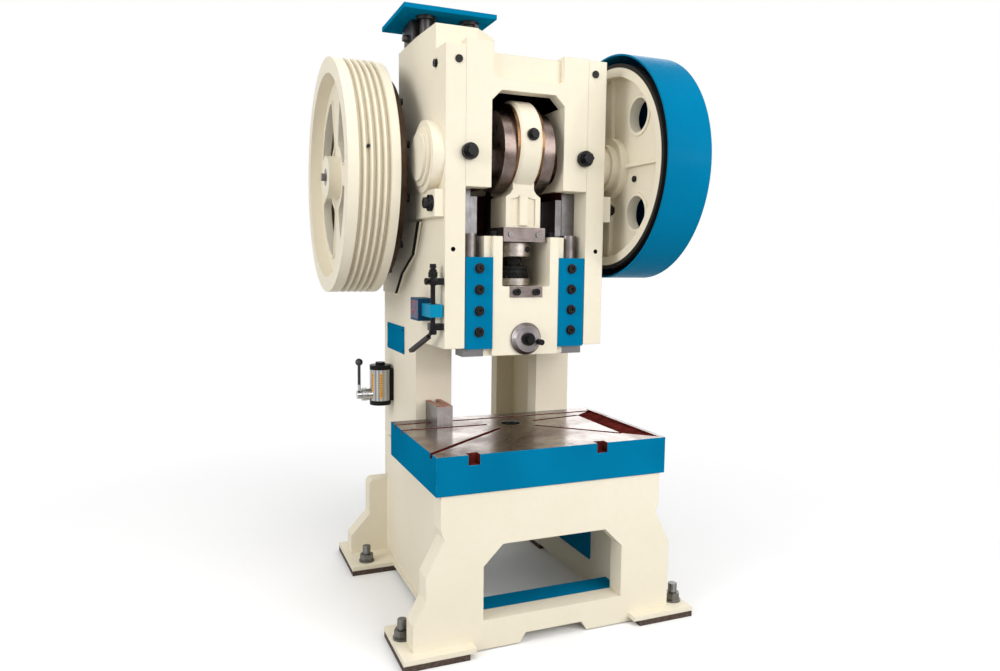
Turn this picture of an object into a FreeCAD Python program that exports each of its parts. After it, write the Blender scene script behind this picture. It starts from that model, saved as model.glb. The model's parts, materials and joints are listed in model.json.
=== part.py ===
import FreeCAD, Part
import math
import os
import Sketcher
from FreeCAD import Placement, Rotation, Vector

# Open-back stamping press with a fixed bed and a geared crankshaft.
# Origin: the ram axis where it meets the top of the bolster plate.
# X runs to the right, Y to the back and Z up. The left side carries the belt flywheel.

sizes = {
    # bolster plate and the floor below it
    "bedWidth": 800, "bedDepth": 538, "bedThickness": 120, "bedHeight": 626, "bedFront": 380,
    "dieHole": 35, "slotWidth": 18, "slotDepth": 16, "slotPad": 92, "rearSlot": 100,
    "rearSlotEnd": 372, "slotStart": 38, "sideSlot": 10,
    "recessDepth": 7, "recessEdge": 14, "recessInner": 292, "recessFront": 102, "recessBack": 40,
    "notchWidth": 38, "notchDepth": 30, "notchLeft": 280, "notchRight": 160,
    # frame casting: base
    "plateThick": 70, "plateSetback": 4, "waistHalf": 373, "waistHeight": 372, "shoulderHalf": 384,
    "hipHalf": 430, "hipTop": 262, "hipBottom": 187, "ankleHalf": 470, "ankleTop": 118,
    "waistTop": 400, "bayHalf": 245, "bayTop": 335, "bayBottom": 98, "bayCorner": 64,
    "toeNotchHalf": 100, "toeSlope": 20, "toeNotchTop": 34, "padGap": 4, "wallHalf": 338,
    "wallThick": 60, "wallBottom": 22, "deckThick": 46, "chuteHalf": 110, "sillWidth": 12,
    "sillTop": 33, "footHalf": 508, "footThick": 15, "padThick": 19, "padInner": 300,
    "footFront": 34, "footLength": 238, "rearFootStart": 323, "rearFootLength": 282,
    "gussetStart": 468, "gussetThick": 72, "gussetHalf": 484, "gussetStep": 410,
    "gussetLow": 106, "gussetMid": 186, "gussetTop": 326, "gussetRound": 22,
    # anchor studs
    "anchorFrontHalf": 474, "anchorRearHalf": 444, "anchorLeft": 269, "anchorRight": 345,
    "anchorRear": 372, "anchorRadius": 14, "anchorHole": 15, "anchorStand": 62,
    "washerRadius": 29, "washerThick": 6,
    # frame casting: columns and head
    "frameHalf": 308, "columnFront": 158, "columnRear": 621, "columnInner": 172,
    "columnRecess": 76, "columnFlange": 74, "rearFlange": 61, "throatRound": 45,
    "headFront": 121, "headBottom": 290, "stripRise": 343, "headRise": 352, "stripDepth": 90,
    "headRear": 390, "slopeRise": 254, "slopeDrop": 46, "pedestalHigh": 75, "pedestalInner": 150,
    "pedestalReach": 60, "pedestalBend": 60,
    "cavityHalf": 222, "cavityRear": 240, "cavityRise": 302, "housingHalf": 132,
    "housingDrop": 100, "housingRise": 180, "rearWall": 50, "rearFloor": 340, "rearRise": 200,
    "crankHeight": 920, "headTaper": 17, "bossRadius": 118, "bossLength": 24, "sidePadDrop": 200,
    "sidePadHigh": 88, "sidePadStart": 112, "sidePadEnd": 96, "sidePadThick": 16,
    # bolts of the frame
    "bridgeBolt": 210, "bridgeShank": 8, "bridgeBoltRise": 11, "bigCollar": 27, "bigHead": 18, "bigShank": 12,
    "bigStand": 42, "sideStand": 28, "bridgeDeep": 44, "smallDeep": 12, "sideBoltPlace": 80,
    "stripScrew": 247, "stripScrewDrop": 45, "sideScrewPlace": 36, "stripHole": 263, "stripHoleDrop": 304,
    "stripScrewRadius": 10, "stripScrewDeep": 24, "smallHead": 8, "smallShank": 5, "mediumHead": 12,
    "edgeBreak": 3,
    # front bridge that holds the crank bearings
    "bridgeThick": 50, "bridgeLeftRise": 367, "bridgeRightRise": 345, "lintelRise": 215, "panelLow": 254,
    "panelRise": 334, "panelDeep": 22, "panelCorner": 12, "panelHalf": 127, "windowCorner": 34,
    "bridgeFit": 0.3,
    # crankshaft and its bearings
    "throw": 50, "journalRadius": 56, "bushWall": 14, "pinRadius": 96, "webRadius": 138,
    "webThick": 42, "webOffset": 32, "rodWidth": 78, "runningFit": 0.05, "endPlay": 0.5,
    "crankStub": 12, "collarRadius": 72, "collarLength": 36, "coverRadius": 96, "coverThick": 9,
    "capRadius": 78, "capThick": 9,
    # connecting rod and adjusting screw
    "bigEndRadius": 156, "rodChamfer": 8, "rodBushWall": 12, "rodBushFlange": 146, "flangeThick": 10,
    "shankHalf": 64, "shankDepth": 54, "shankFront": 84, "shankTopDrop": 124, "flareDrop": 99,
    "flareWaist": 48, "flareStep": 11, "ribHalf": 15, "ribHeight": 7, "fluteHalf": 45, "fluteDeep": 6,
    "clampHalf": 77, "clampDepth": 62, "clampFront": 98, "clampHeight": 48, "clampSlit": 4,
    "rodScrewInset": 26, "screwRadius": 26, "screwGrip": 70, "screwShow": 31, "nutRadius": 62,
    "nutHeight": 51, "seatRadius": 50, "seatHeight": 43, "ringRadius": 62, "ringHeight": 24,
    "ringLift": 2, "ballRadius": 30, "ballDrop": 34, "neckRadius": 18, "capCollar": 20,
    "capHead": 14, "capStand": 26, "capBoltRise": 25, "spotDeep": 1.7,
    # ram
    "ramHalf": 122, "ramFront": 118, "ramRear": 132, "ramBottom": 261, "ramTop": 662,
    "earHalf": 148, "earRear": 92, "ramSlotHalf": 88, "ramSlotBottom": 494, "ramRound": 8,
    "cupGap": 4, "cupDepth": 84, "cupRun": 52, "retainerHalf": 60, "retainerHeight": 36,
    "retainerThick": 22, "retainerScrew": 36, "retainerProud": 3, "topScrewBack": 40, "shankBore": 25,
    "shankBoreDepth": 90, "guideGap": 0.3, "dialRadius": 55, "dialTop": 44, "dialThick": 22,
    "dialHeight": 317,
    "dialPinDeep": 20, "dialPin": 12, "hubRadius": 22, "hubLength": 24, "handleRadius": 10,
    "handleLength": 26, "handleOffset": 40,
    # ram guides
    "gibBottom": 286, "gibTop": 592, "gibPlateOuter": 219, "gibPlateThick": 20, "gibBlockRear": 30,
    "gibBoltStart": 57, "gibBoltPitch": 70.6, "gibHead": 14, "gibShank": 7, "gibGrip": 28,
    "barBottom": 259, "barGap": 24, "railOuter": 172, "postRadius": 28, "postHeight": 78,
    "guidePostInset": 10,
    # drive shaft, pinion and gear wheel
    "toothModule": 10, "gearTeeth": 71, "pinionTeeth": 15, "shaftDrop": 39, "shaftRadius": 38,
    "backlash": 0.3, "driveBush": 12, "gearGap": 60, "gearWidth": 90, "shroudThick": 22,
    "shroudRadius": 366, "pinionGap": 2, "rimWall": 34, "gearWebThick": 30, "gearHub": 108,
    "hubStep": 84, "hubStepLength": 24, "gearHubLength": 130, "lightHole": 58, "holeBoss": 70,
    "holeBossRise": 5, "lightCircle": 236, "gearRib": 15, "shaftStub": 20, "housingRadius": 92,
    "housingLength": 20,
    # gear guard
    "guardGap": 56, "guardWidth": 168, "guardRadius": 398, "guardWall": 6, "pinionGuard": 106,
    "armWidth": 46, "armThick": 14,
    # flywheel and clutch
    "flyRadius": 425, "flyGap": 94, "flyWidth": 176, "flyRim": 56, "flyWebThick": 26,
    "flyWebPlace": 46, "flyHub": 78, "grooveDepth": 15, "groovePitch": 23, "grooveTop": 17,
    "grooveFloor": 7, "grooveCount": 5, "grooveStart": 34, "windowInner": 122, "windowOuter": 308,
    "windowSpread": 58, "windowCount": 4, "windowRound": 26, "windowRim": 12, "windowRimRise": 6,
    "tipRadius": 14, "tipLength": 16, "flyNeck": 32, "liningRadius": 400, "liningInner": 318,
    "liningThick": 8, "plateRadius": 372, "clutchThick": 27, "clutchGap": 0.5, "clutchBolts": 12,
    "clutchBolt": 12, "clutchBoltHigh": 9, "clutchBoltInset": 22,
    # guard plate behind the flywheel
    "shieldThick": 8, "shieldGap": 8, "shieldTopFront": 84, "shieldTopRear": 612, "shieldKneeFront": 148,
    "shieldKneeDrop": 283, "shieldBendFront": 296, "shieldBendDrop": 352, "shieldFootFront": 386,
    "shieldFootDrop": 431, "edgeThick": 7, "edgeWide": 13,
    # motor plate on its posts
    "motorLeft": 367, "motorRight": 32, "motorFront": 95, "motorDepth": 315, "motorThick": 16,
    "postHigh": 77, "postThick": 21, "postFlange": 34, "flangeHigh": 12, "postInset": 76,
    "postInsetLeft": 98, "postInsetRear": 60, "postStud": 10, "nutSink": 10,
    "motorSlot": 14, "motorSlotLength": 46,
    "motorSlotInset": 34, "motorSlotPlace": 84, "tiltWide": 92, "tiltFront": 120, "tiltDeep": 98,
    "tiltRise": 22,
    # side fittings on the left column
    "plateStart": 311, "plateLength": 254, "plateLow": 222, "plateHigh": 326, "platePanel": 3,
    "rivetInset": 13, "rivetRadius": 4,
    "pumpPlace": 504, "pumpLow": 0, "pumpHigh": 160, "pumpRadius": 42, "pumpGap": 6, "pumpCap": 18,
    "valveRadius": 25, "valveLength": 34, "leverLength": 130, "leverRadius": 6, "ballKnob": 15,
    "spindlePlace": 104, "spindleLow": 338, "spindleHigh": 556, "spindleRadius": 8, "spindleOut": 18,
    "armLength": 150, "armOut": 40, "armBack": 120, "armDown": 70, "lowBracket": 352, "highBracket": 500,
    "bracketHalf": 14, "bracketHigh": 22,
    "boxLow": 376, "boxHigh": 452, "boxStart": 20, "boxDepth": 90, "boxOut": 44,
    "noseLow": 394, "noseHigh": 436,
    # steel block that stands on the plate
    "blockWidth": 56, "blockLength": 140, "blockHeight": 72, "blockPlace": 214, "blockGap": 0.3,
    # blue sheets inside the base
    "sheetThick": 5, "shelfDepth": 84, "sheetLow": 120, "sheetGap": 10,
}

doc = FreeCAD.newDocument("press")
sheet = doc.addObject("Spreadsheet::Sheet", "sizes")
for row, (alias, number) in enumerate(sizes.items(), start=1):
    sheet.set("A%d" % row, alias)
    sheet.set("B%d" % row, str(number))
    sheet.setAlias("B%d" % row, alias)
doc.recompute()


class Size:
    # a number together with the sheet expression that gives it
    def __init__(self, value, text):
        self.value = value
        self.text = text

    def __add__(self, other):
        other = asSize(other)
        return Size(self.value + other.value, "(%s + %s)" % (self.text, other.text))

    def __sub__(self, other):
        other = asSize(other)
        return Size(self.value - other.value, "(%s - %s)" % (self.text, other.text))

    def __mul__(self, other):
        other = asSize(other)
        return Size(self.value * other.value, "(%s * %s)" % (self.text, other.text))

    def __truediv__(self, other):
        other = asSize(other)
        return Size(self.value / other.value, "(%s / %s)" % (self.text, other.text))

    def __neg__(self):
        return Size(-self.value, "(0 - %s)" % self.text)

    __radd__ = __add__

    def __rsub__(self, other):
        return asSize(other) - self

    __rmul__ = __mul__


def asSize(item):
    if isinstance(item, Size):
        return item
    return Size(item, repr(item))


def rootOf(item):
    return Size(math.sqrt(item.value), "sqrt(%s)" % item.text)


class SheetSizes:
    def __getattr__(self, alias):
        return Size(sizes[alias], "sizes." + alias)


s = SheetSizes()
parts = []

# places that several pieces share
floorLevel = -s.bedHeight
bedUnder = -s.bedThickness
deckUnder = bedUnder - s.deckThick
plateBack = s.plateThick + s.plateSetback - s.bedFront
pinHeight = s.crankHeight + s.throw
stripTop = s.crankHeight + s.stripRise
headTop = s.crankHeight + s.headRise
pedestalTop = headTop + s.pedestalHigh
motorHeight = pedestalTop + s.postHigh
housingBottom = s.crankHeight - s.housingDrop
housingTop = s.crankHeight + s.housingRise
barTop = housingBottom - s.barGap
headHalf = s.frameHalf - s.headTaper
sidePadLow = s.crankHeight - s.sidePadDrop
bossEnd = s.frameHalf + s.bossLength
gearPitch = s.toothModule * s.gearTeeth / 2
pinionPitch = s.toothModule * s.pinionTeeth / 2
axisGap = gearPitch + pinionPitch
shaftHeight = s.crankHeight - s.shaftDrop
shaftPlace = rootOf(axisGap * axisGap - s.shaftDrop * s.shaftDrop)
flyStart = s.frameHalf + s.flyGap
flyEnd = flyStart + s.flyWidth
gearStart = s.frameHalf + s.gearGap
hubStart = s.frameHalf + s.guideGap + s.collarLength
hubEnd = hubStart + s.gearHubLength
guardStart = s.frameHalf + s.guardGap
bushRadius = s.journalRadius + s.bushWall
driveBore = s.shaftRadius + s.driveBush
cheekBack = s.bridgeThick - s.headFront


def above(height):
    # a level measured up from the floor
    return floorLevel + height


def bind(item, setting, size):
    item.setExpression(setting, asSize(size).text)


def finished(label, item):
    item.Label = label
    parts.append(item)
    return item


planeRoles = {"X": "YZ_Plane", "Y": "XZ_Plane", "Z": "XY_Plane"}


class Piece:
    # one PartDesign body with the few feature kinds that the press needs
    def __init__(self, label):
        self.body = doc.addObject("PartDesign::Body", label + "_body")
        self.label = label
        self.count = 0

    def origin(self, role):
        for item in self.body.Origin.OriginFeatures:
            if item.Role == role:
                return item

    def name(self, kind):
        self.count += 1
        return "%s_%s%d" % (self.label, kind, self.count)

    def sketch(self, role, shift):
        sk = self.body.newObject("Sketcher::SketchObject", self.name("sketch"))
        sk.AttachmentSupport = [(self.origin(role), "")]
        sk.MapMode = "FlatFace"
        for letter, size in zip("xyz", shift):
            size = asSize(size)
            if size.value != 0 or "sizes" in size.text:
                sk.setExpression("AttachmentOffset.Base." + letter, size.text)
        return sk

    def feature(self, kind, sk):
        item = self.body.newObject("PartDesign::" + kind, self.name(kind.lower()))
        item.Profile = sk
        sk.Visibility = False
        return item

    def slab(self, kind, axis, low, high, outlines):
        # a Pad or Pocket between two levels of one axis
        low, high = asSize(low), asSize(high)
        start = low if kind == "Pad" else high
        if axis == "Y":
            start = -high if kind == "Pad" else -low
        sk = self.sketch(planeRoles[axis], (0, 0, start))
        for outline in outlines:
            outline.draw(sk)
        item = self.feature(kind, sk)
        bind(item, "Length", high - low)
        return item

    def pad(self, axis, low, high, *outlines):
        return self.slab("Pad", axis, low, high, outlines)

    def pocket(self, axis, low, high, *outlines):
        return self.slab("Pocket", axis, low, high, outlines)

    def turned(self, axis, centre, outline):
        # outline is (along the axis, radius) for X, and (radius, along the axis) for Y and Z
        first, second = asSize(centre[0]), asSize(centre[1])
        if axis == "X":
            sk = self.sketch("XZ_Plane", (0, second, -first))
            line = "H_Axis"
        elif axis == "Y":
            sk = self.sketch("XY_Plane", (first, 0, second))
            line = "V_Axis"
        else:
            sk = self.sketch("XZ_Plane", (first, 0, -second))
            line = "V_Axis"
        outline.draw(sk)
        item = self.feature("Revolution", sk)
        item.ReferenceAxis = (sk, [line])
        item.Angle = 360
        return item

    def dress(self, kind, setting, size, test):
        # Fillet or Chamfer on the edges whose middle point passes the test
        doc.recompute()
        tip = self.body.Tip
        names = []
        for number, edge in enumerate(tip.Shape.Edges, start=1):
            middle = edge.valueAt((edge.FirstParameter + edge.LastParameter) / 2)
            if test(middle, edge):
                names.append("Edge%d" % number)
        item = self.body.newObject("PartDesign::" + kind, self.name(kind.lower()))
        item.Base = (tip, names)
        bind(item, setting, size)
        return item

    def fillet(self, size, test):
        return self.dress("Fillet", "Radius", size, test)

    def chamfer(self, size, test):
        return self.dress("Chamfer", "Size", size, test)

    def done(self):
        return finished(self.label, self.body)

    def half(self):
        # a body that goes into a node together with others
        return self.body


def pin(sk, geo, end, x, y):
    # ties one sketch point to the sheet
    for kind, size, onAxis in (("DistanceX", asSize(x), -2), ("DistanceY", asSize(y), -1)):
        if size.value == 0:
            sk.addConstraint(Sketcher.Constraint("PointOnObject", geo, end, onAxis))
            continue
        number = sk.addConstraint(Sketcher.Constraint(kind, -1, 1, geo, end, size.value))
        sk.setExpression("Constraints[%d]" % number, size.text)


class Poly:
    def __init__(self, *points):
        self.points = [(asSize(x), asSize(y)) for x, y in points]

    def draw(self, sk):
        spots = [Vector(x.value, y.value, 0) for x, y in self.points]
        first = sk.GeometryCount
        last = first + len(spots) - 1
        for here, there in zip(spots, spots[1:] + spots[:1]):
            sk.addGeometry(Part.LineSegment(here, there), False)
        for geo in range(first, last + 1):
            follower = geo + 1 if geo < last else first
            sk.addConstraint(Sketcher.Constraint("Coincident", geo, 2, follower, 1))
        for geo, (x, y) in zip(range(first, last + 1), self.points):
            pin(sk, geo, 1, x, y)


def Rect(x0, x1, y0, y1):
    return Poly((x0, y0), (x1, y0), (x1, y1), (x0, y1))


class Disc:
    def __init__(self, x, y, radius):
        self.x, self.y, self.radius = asSize(x), asSize(y), asSize(radius)

    def draw(self, sk):
        centre = Vector(self.x.value, self.y.value, 0)
        geo = sk.addGeometry(Part.Circle(centre, Vector(0, 0, 1), self.radius.value), False)
        number = sk.addConstraint(Sketcher.Constraint("Radius", geo, self.radius.value))
        sk.setExpression("Constraints[%d]" % number, self.radius.text)
        pin(sk, geo, 3, self.x, self.y)


turns = {
    "Z": Rotation(), "-Z": Rotation(Vector(1, 0, 0), 180),
    "X": Rotation(Vector(0, 1, 0), 90), "-X": Rotation(Vector(0, 1, 0), -90),
    "Y": Rotation(Vector(1, 0, 0), -90), "-Y": Rotation(Vector(1, 0, 0), 90),
}
stepOf = {"X": (1, 0, 0), "-X": (-1, 0, 0), "Y": (0, 1, 0), "-Y": (0, -1, 0),
          "Z": (0, 0, 1), "-Z": (0, 0, -1)}


def seat(item, place, axis="Z"):
    item.Placement = Placement(Vector(), turns[axis])
    for letter, size in zip("xyz", place):
        bind(item, "Placement.Base." + letter, size)
    return item


def moved(place, axis, distance):
    return tuple(asSize(p) + asSize(distance) * k for p, k in zip(place, stepOf[axis]))


def rod(name, place, axis, radius, length):
    item = doc.addObject("Part::Cylinder", name)
    bind(item, "Radius", radius)
    bind(item, "Height", length)
    return seat(item, place, axis)


def hexBar(name, place, axis, radius, length):
    item = doc.addObject("Part::Prism", name)
    item.Polygon = 6
    bind(item, "Circumradius", radius)
    bind(item, "Height", length)
    return seat(item, place, axis)


def block(name, low, high):
    item = doc.addObject("Part::Box", name)
    for setting, a, b in zip(("Length", "Width", "Height"), low, high):
        bind(item, setting, asSize(b) - asSize(a))
    return seat(item, low)


def fuse(name, items):
    joined = doc.addObject("Part::MultiFuse", name)
    joined.Shapes = items
    return joined


def cut(name, base, tool):
    item = doc.addObject("Part::Cut", name)
    item.Base = base
    item.Tool = tool
    return item


def group(label, items):
    item = doc.addObject("Part::Compound", label + "_group")
    item.Links = items
    return finished(label, item)


def screw(name, place, axis, head, high, shank, deep):
    # cap screw whose head stands on the face at place and whose shank runs back from it
    # the socket is half as wide as the head and goes a little over half way down
    mouth = moved(place, axis, asSize(high) * 0.45)
    key = hexBar(name + "_key", mouth, axis, asSize(head) * 0.5, high)
    top = cut(name + "_socket", rod(name + "_head", place, axis, head, high), key)
    back = rod(name + "_shank", moved(place, axis, -asSize(deep)), axis, shank, deep)
    return fuse(name, [top, back])


def collarBolt(name, place, axis, collar, head, high, shank, deep):
    # big hexagon bolt on a round collar
    ring = rod(name + "_collar", place, axis, collar, asSize(high) * 0.42)
    tip = hexBar(name + "_tip", place, axis, head, high)
    back = rod(name + "_shank", moved(place, axis, -asSize(deep)), axis, shank, deep)
    return fuse(name, [ring, tip, back])


def bothSides(outline):
    # the same outline at the left and, mirrored in X, at the right
    return [Poly(*[(-x, y) for x, y in outline]), Poly(*outline)]


def channel(x0, y0, x1, y1, half):
    # a straight slot of width 2 * half from one point to another
    dx, dy = asSize(x1) - x0, asSize(y1) - y0
    length = rootOf(dx * dx + dy * dy)
    nx, ny = dy * half / length, -(dx * half / length)
    return Poly((x0 + nx, y0 + ny), (x1 + nx, y1 + ny), (x1 - nx, y1 - ny), (x0 - nx, y0 - ny))


# places of the bolts, shared by the bolts and by their holes
anchorSpots = [(-s.anchorFrontHalf, -s.anchorLeft), (s.anchorFrontHalf, -s.anchorRight),
               (-s.anchorRearHalf, s.anchorRear), (s.anchorRearHalf, s.anchorRear)]
gibMiddle = (s.ramHalf + s.gibPlateOuter) / 2
gibSpots = [(gibMiddle * side, s.gibBottom + s.gibBoltStart + s.gibBoltPitch * k)
            for side in (-1, 1) for k in range(4)]
bridgeSpots = [(s.bridgeBolt * side, s.crankHeight + s.bridgeBoltRise) for side in (-1, 1)]
sideBoltSpot = (-s.sideBoltPlace, sidePadLow + s.sidePadHigh / 2)
sideScrewSpot = (-s.sideScrewPlace, stripTop - s.stripScrewDrop)
stripSpots = [(s.stripScrew * side, stripTop - s.stripScrewDrop) for side in (-1, 1)]
postSpots = [(x, y) for x in (-s.motorLeft + s.postInsetLeft, -s.motorRight - s.postInset)
             for y in (s.motorFront + s.postInset, s.motorFront + s.motorDepth - s.postInsetRear)]
rivetSpots = [(y, z) for y in (s.plateStart + s.rivetInset, s.plateStart + s.plateLength - s.rivetInset)
              for z in (s.plateLow + s.rivetInset, s.plateHigh - s.rivetInset)]
stripFace = -s.headFront
guideFace = stripFace + s.gibPlateThick
earFront = guideFace + s.guideGap


def faceAt(place):
    # half width of the head at a place along its tapered side
    return headHalf + (place - stripFace) * s.headTaper / (s.columnFront - stripFace)


sideScrewFace = s.spotDeep - faceAt(-s.sideScrewPlace)


def ordered(first, second):
    # two levels with the lower one first
    first, second = asSize(first), asSize(second)
    return (first, second) if first.value < second.value else (second, first)


def frameBase():
    # lower casting: front plate with its waist, side walls, deck, sills, feet and gussets
    p = Piece("frame_base")
    p.pad("X", -s.frameHalf, s.frameHalf, Rect(s.columnFront, s.columnRear, above(s.wallBottom), bedUnder))
    p.pad("Y", s.plateSetback - s.bedFront, plateBack, Poly(
        (-s.shoulderHalf, bedUnder), (-s.shoulderHalf, above(s.waistTop)),
        (-s.waistHalf, above(s.waistHeight)), (-s.hipHalf, above(s.hipTop)),
        (-s.hipHalf, above(s.hipBottom)), (-s.ankleHalf, above(s.ankleTop)),
        (-s.ankleHalf, above(s.padThick)), (-s.padInner, above(s.padThick)),
        (-s.padInner, above(s.padGap)), (-s.toeNotchHalf - s.toeSlope, above(s.padGap)),
        (-s.toeNotchHalf, above(s.toeNotchTop)), (s.toeNotchHalf, above(s.toeNotchTop)),
        (s.toeNotchHalf + s.toeSlope, above(s.padGap)), (s.padInner, above(s.padGap)),
        (s.padInner, above(s.padThick)), (s.hipHalf, above(s.padThick)),
        (s.hipHalf, above(s.hipTop)), (s.waistHalf, above(s.waistHeight)),
        (s.shoulderHalf, above(s.waistTop)), (s.shoulderHalf, bedUnder)))
    p.pad("Y", plateBack, s.gussetStart, Rect(-s.wallHalf, s.wallHalf, above(s.wallBottom), bedUnder))
    footTop = above(s.padThick + s.footThick)
    innerHalf = s.wallHalf - s.wallThick
    frontFoot = -s.bedFront - s.footFront
    rearFoot = s.rearFootStart
    p.pad("Z", above(s.padThick), footTop,
          Rect(-s.footHalf, -innerHalf, frontFoot, frontFoot + s.footLength),
          Rect(innerHalf, s.footHalf, frontFoot, frontFoot + s.footLength),
          Rect(-s.footHalf, -innerHalf, rearFoot, rearFoot + s.rearFootLength),
          Rect(innerHalf, s.footHalf, rearFoot, rearFoot + s.rearFootLength))
    sill = s.wallHalf + s.sillWidth
    p.pad("Z", above(s.wallBottom), above(s.sillTop),
          Rect(-sill, -innerHalf, frontFoot + s.footLength, rearFoot),
          Rect(innerHalf, sill, frontFoot + s.footLength, rearFoot))
    inFrame = s.frameHalf - s.sillWidth
    p.pad("Y", s.gussetStart, s.gussetStart + s.gussetThick, *bothSides([
        (inFrame, above(s.padThick)), (s.gussetHalf, above(s.padThick)),
        (s.gussetHalf, above(s.gussetLow)), (s.gussetStep, above(s.gussetMid)),
        (s.gussetStep, above(s.gussetTop)), (inFrame, above(s.gussetTop))]))
    p.fillet(s.gussetRound, lambda m, e: abs(abs(m.x) - s.gussetStep.value) < 0.1
             and abs(m.z - above(s.gussetTop).value) < 0.1)

    # hollow under its deck, open at the back and through the bay in front
    p.pocket("Z", floorLevel, deckUnder, Rect(-innerHalf, innerHalf, plateBack, s.columnRear))
    p.pocket("Z", deckUnder, bedUnder, Rect(-s.chuteHalf, s.chuteHalf, -s.chuteHalf, s.chuteHalf))
    p.pocket("Y", s.plateSetback - s.bedFront, plateBack, Poly(
        (-s.bayHalf, above(s.bayBottom)), (-s.bayHalf, above(s.bayTop) - s.bayCorner),
        (-s.bayHalf + s.bayCorner, above(s.bayTop)), (s.bayHalf - s.bayCorner, above(s.bayTop)),
        (s.bayHalf, above(s.bayTop) - s.bayCorner), (s.bayHalf, above(s.bayBottom))))
    p.pocket("Z", above(s.padThick), footTop, *[Disc(x, y, s.anchorHole) for x, y in anchorSpots])
    return p.done()


def frameCasting():
    # upper casting: two columns that carry the head, whose sides draw in towards the front
    p = Piece("frame_casting")
    headStep = s.stripDepth - s.headFront
    p.pad("X", -s.frameHalf, s.frameHalf, Poly(
        (stripFace, s.headBottom), (stripFace, stripTop), (headStep, stripTop),
        (headStep, headTop), (s.headRear, headTop), (s.headRear, s.crankHeight + s.slopeRise),
        (s.columnRear, s.crankHeight - s.slopeDrop), (s.columnRear, bedUnder),
        (s.columnFront, bedUnder), (s.columnFront, s.headBottom)))
    p.fillet(s.throatRound, lambda m, e: abs(m.y - s.columnFront.value) < 0.1
             and abs(m.z - s.headBottom.value) < 0.1)
    p.pad("Z", headTop, pedestalTop, Poly(
        (-s.frameHalf, headStep), (-s.pedestalInner, headStep), (-s.pedestalReach, s.pedestalBend),
        (-s.pedestalReach, s.headRear), (-s.frameHalf, s.headRear)))
    p.pocket("Z", s.headBottom - s.throatRound, pedestalTop, *bothSides([
        (headHalf, stripFace), (s.frameHalf, s.columnFront), (s.frameHalf, stripFace)]))

    # throat between the two columns, and the step on the inner side of each column
    p.pocket("Y", s.columnFront - s.throatRound, s.columnRear,
             Rect(-s.columnInner, s.columnInner, bedUnder, s.headBottom))
    webEdge = s.columnInner + s.columnRecess
    p.pocket("Y", s.columnFront + s.columnFlange, s.columnRear - s.rearFlange,
             Rect(-webEdge, webEdge, bedUnder, s.headBottom))

    # head: seat of the bridge, seats of the guides, crank chamber, open rear chamber
    p.pocket("Y", stripFace, cheekBack,
             Rect(-s.cavityHalf, s.cavityHalf, s.headBottom, pedestalTop))
    p.pocket("Y", cheekBack, -s.gibBlockRear,
             Rect(-s.cavityHalf, s.cavityHalf, s.headBottom, housingBottom))
    p.pocket("Y", -s.gibBlockRear, s.cavityRear,
             Rect(-s.railOuter, s.railOuter, s.headBottom, housingBottom))
    p.pocket("Y", cheekBack, s.cavityRear, Poly(
        (-s.housingHalf, housingBottom), (-s.housingHalf, housingTop), (-s.cavityHalf, housingTop),
        (-s.cavityHalf, s.crankHeight + s.cavityRise), (s.cavityHalf, s.crankHeight + s.cavityRise),
        (s.cavityHalf, housingTop), (s.housingHalf, housingTop), (s.housingHalf, housingBottom)))
    p.pocket("Y", s.cavityRear + s.rearWall, s.columnRear,
             Rect(-s.cavityHalf, s.cavityHalf, s.rearFloor, s.crankHeight + s.rearRise))

    # bosses and pads on the sides, then the bores of both shafts
    p.pad("X", -bossEnd, -headHalf, Disc(0, s.crankHeight, s.bossRadius))
    p.pad("X", headHalf, s.frameHalf, Disc(0, s.crankHeight, s.housingRadius))
    padEnd = s.frameHalf + s.sidePadThick
    for side in (-1, 1):
        low, high = ordered(headHalf * side, padEnd * side)
        p.pad("X", low, high, Rect(-s.sidePadStart, s.sidePadEnd, sidePadLow, sidePadLow + s.sidePadHigh))
        p.pocket("X", low, high, Disc(*sideBoltSpot, s.bigShank))
    p.pocket("X", -bossEnd, s.frameHalf, Disc(0, s.crankHeight, bushRadius))
    p.pocket("X", -s.frameHalf, s.frameHalf, Disc(shaftPlace, shaftHeight, driveBore))

    # holes for the screws that this casting takes, and one open hole in each front strip
    p.pocket("Y", stripFace, stripFace + s.stripScrewDeep,
             *[Disc(x, z, s.stripScrewRadius) for x, z in stripSpots])
    p.pocket("Y", stripFace, stripFace + s.smallDeep,
             *[Disc(s.stripHole * side, s.crankHeight - s.stripHoleDrop, s.smallShank) for side in (-1, 1)])
    p.pocket("X", -s.frameHalf, sideScrewFace, Disc(*sideScrewSpot, s.stripScrewRadius * 1.5))
    p.pocket("X", sideScrewFace, sideScrewFace + s.smallDeep, Disc(*sideScrewSpot, s.stripScrewRadius))
    return p.done()


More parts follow.
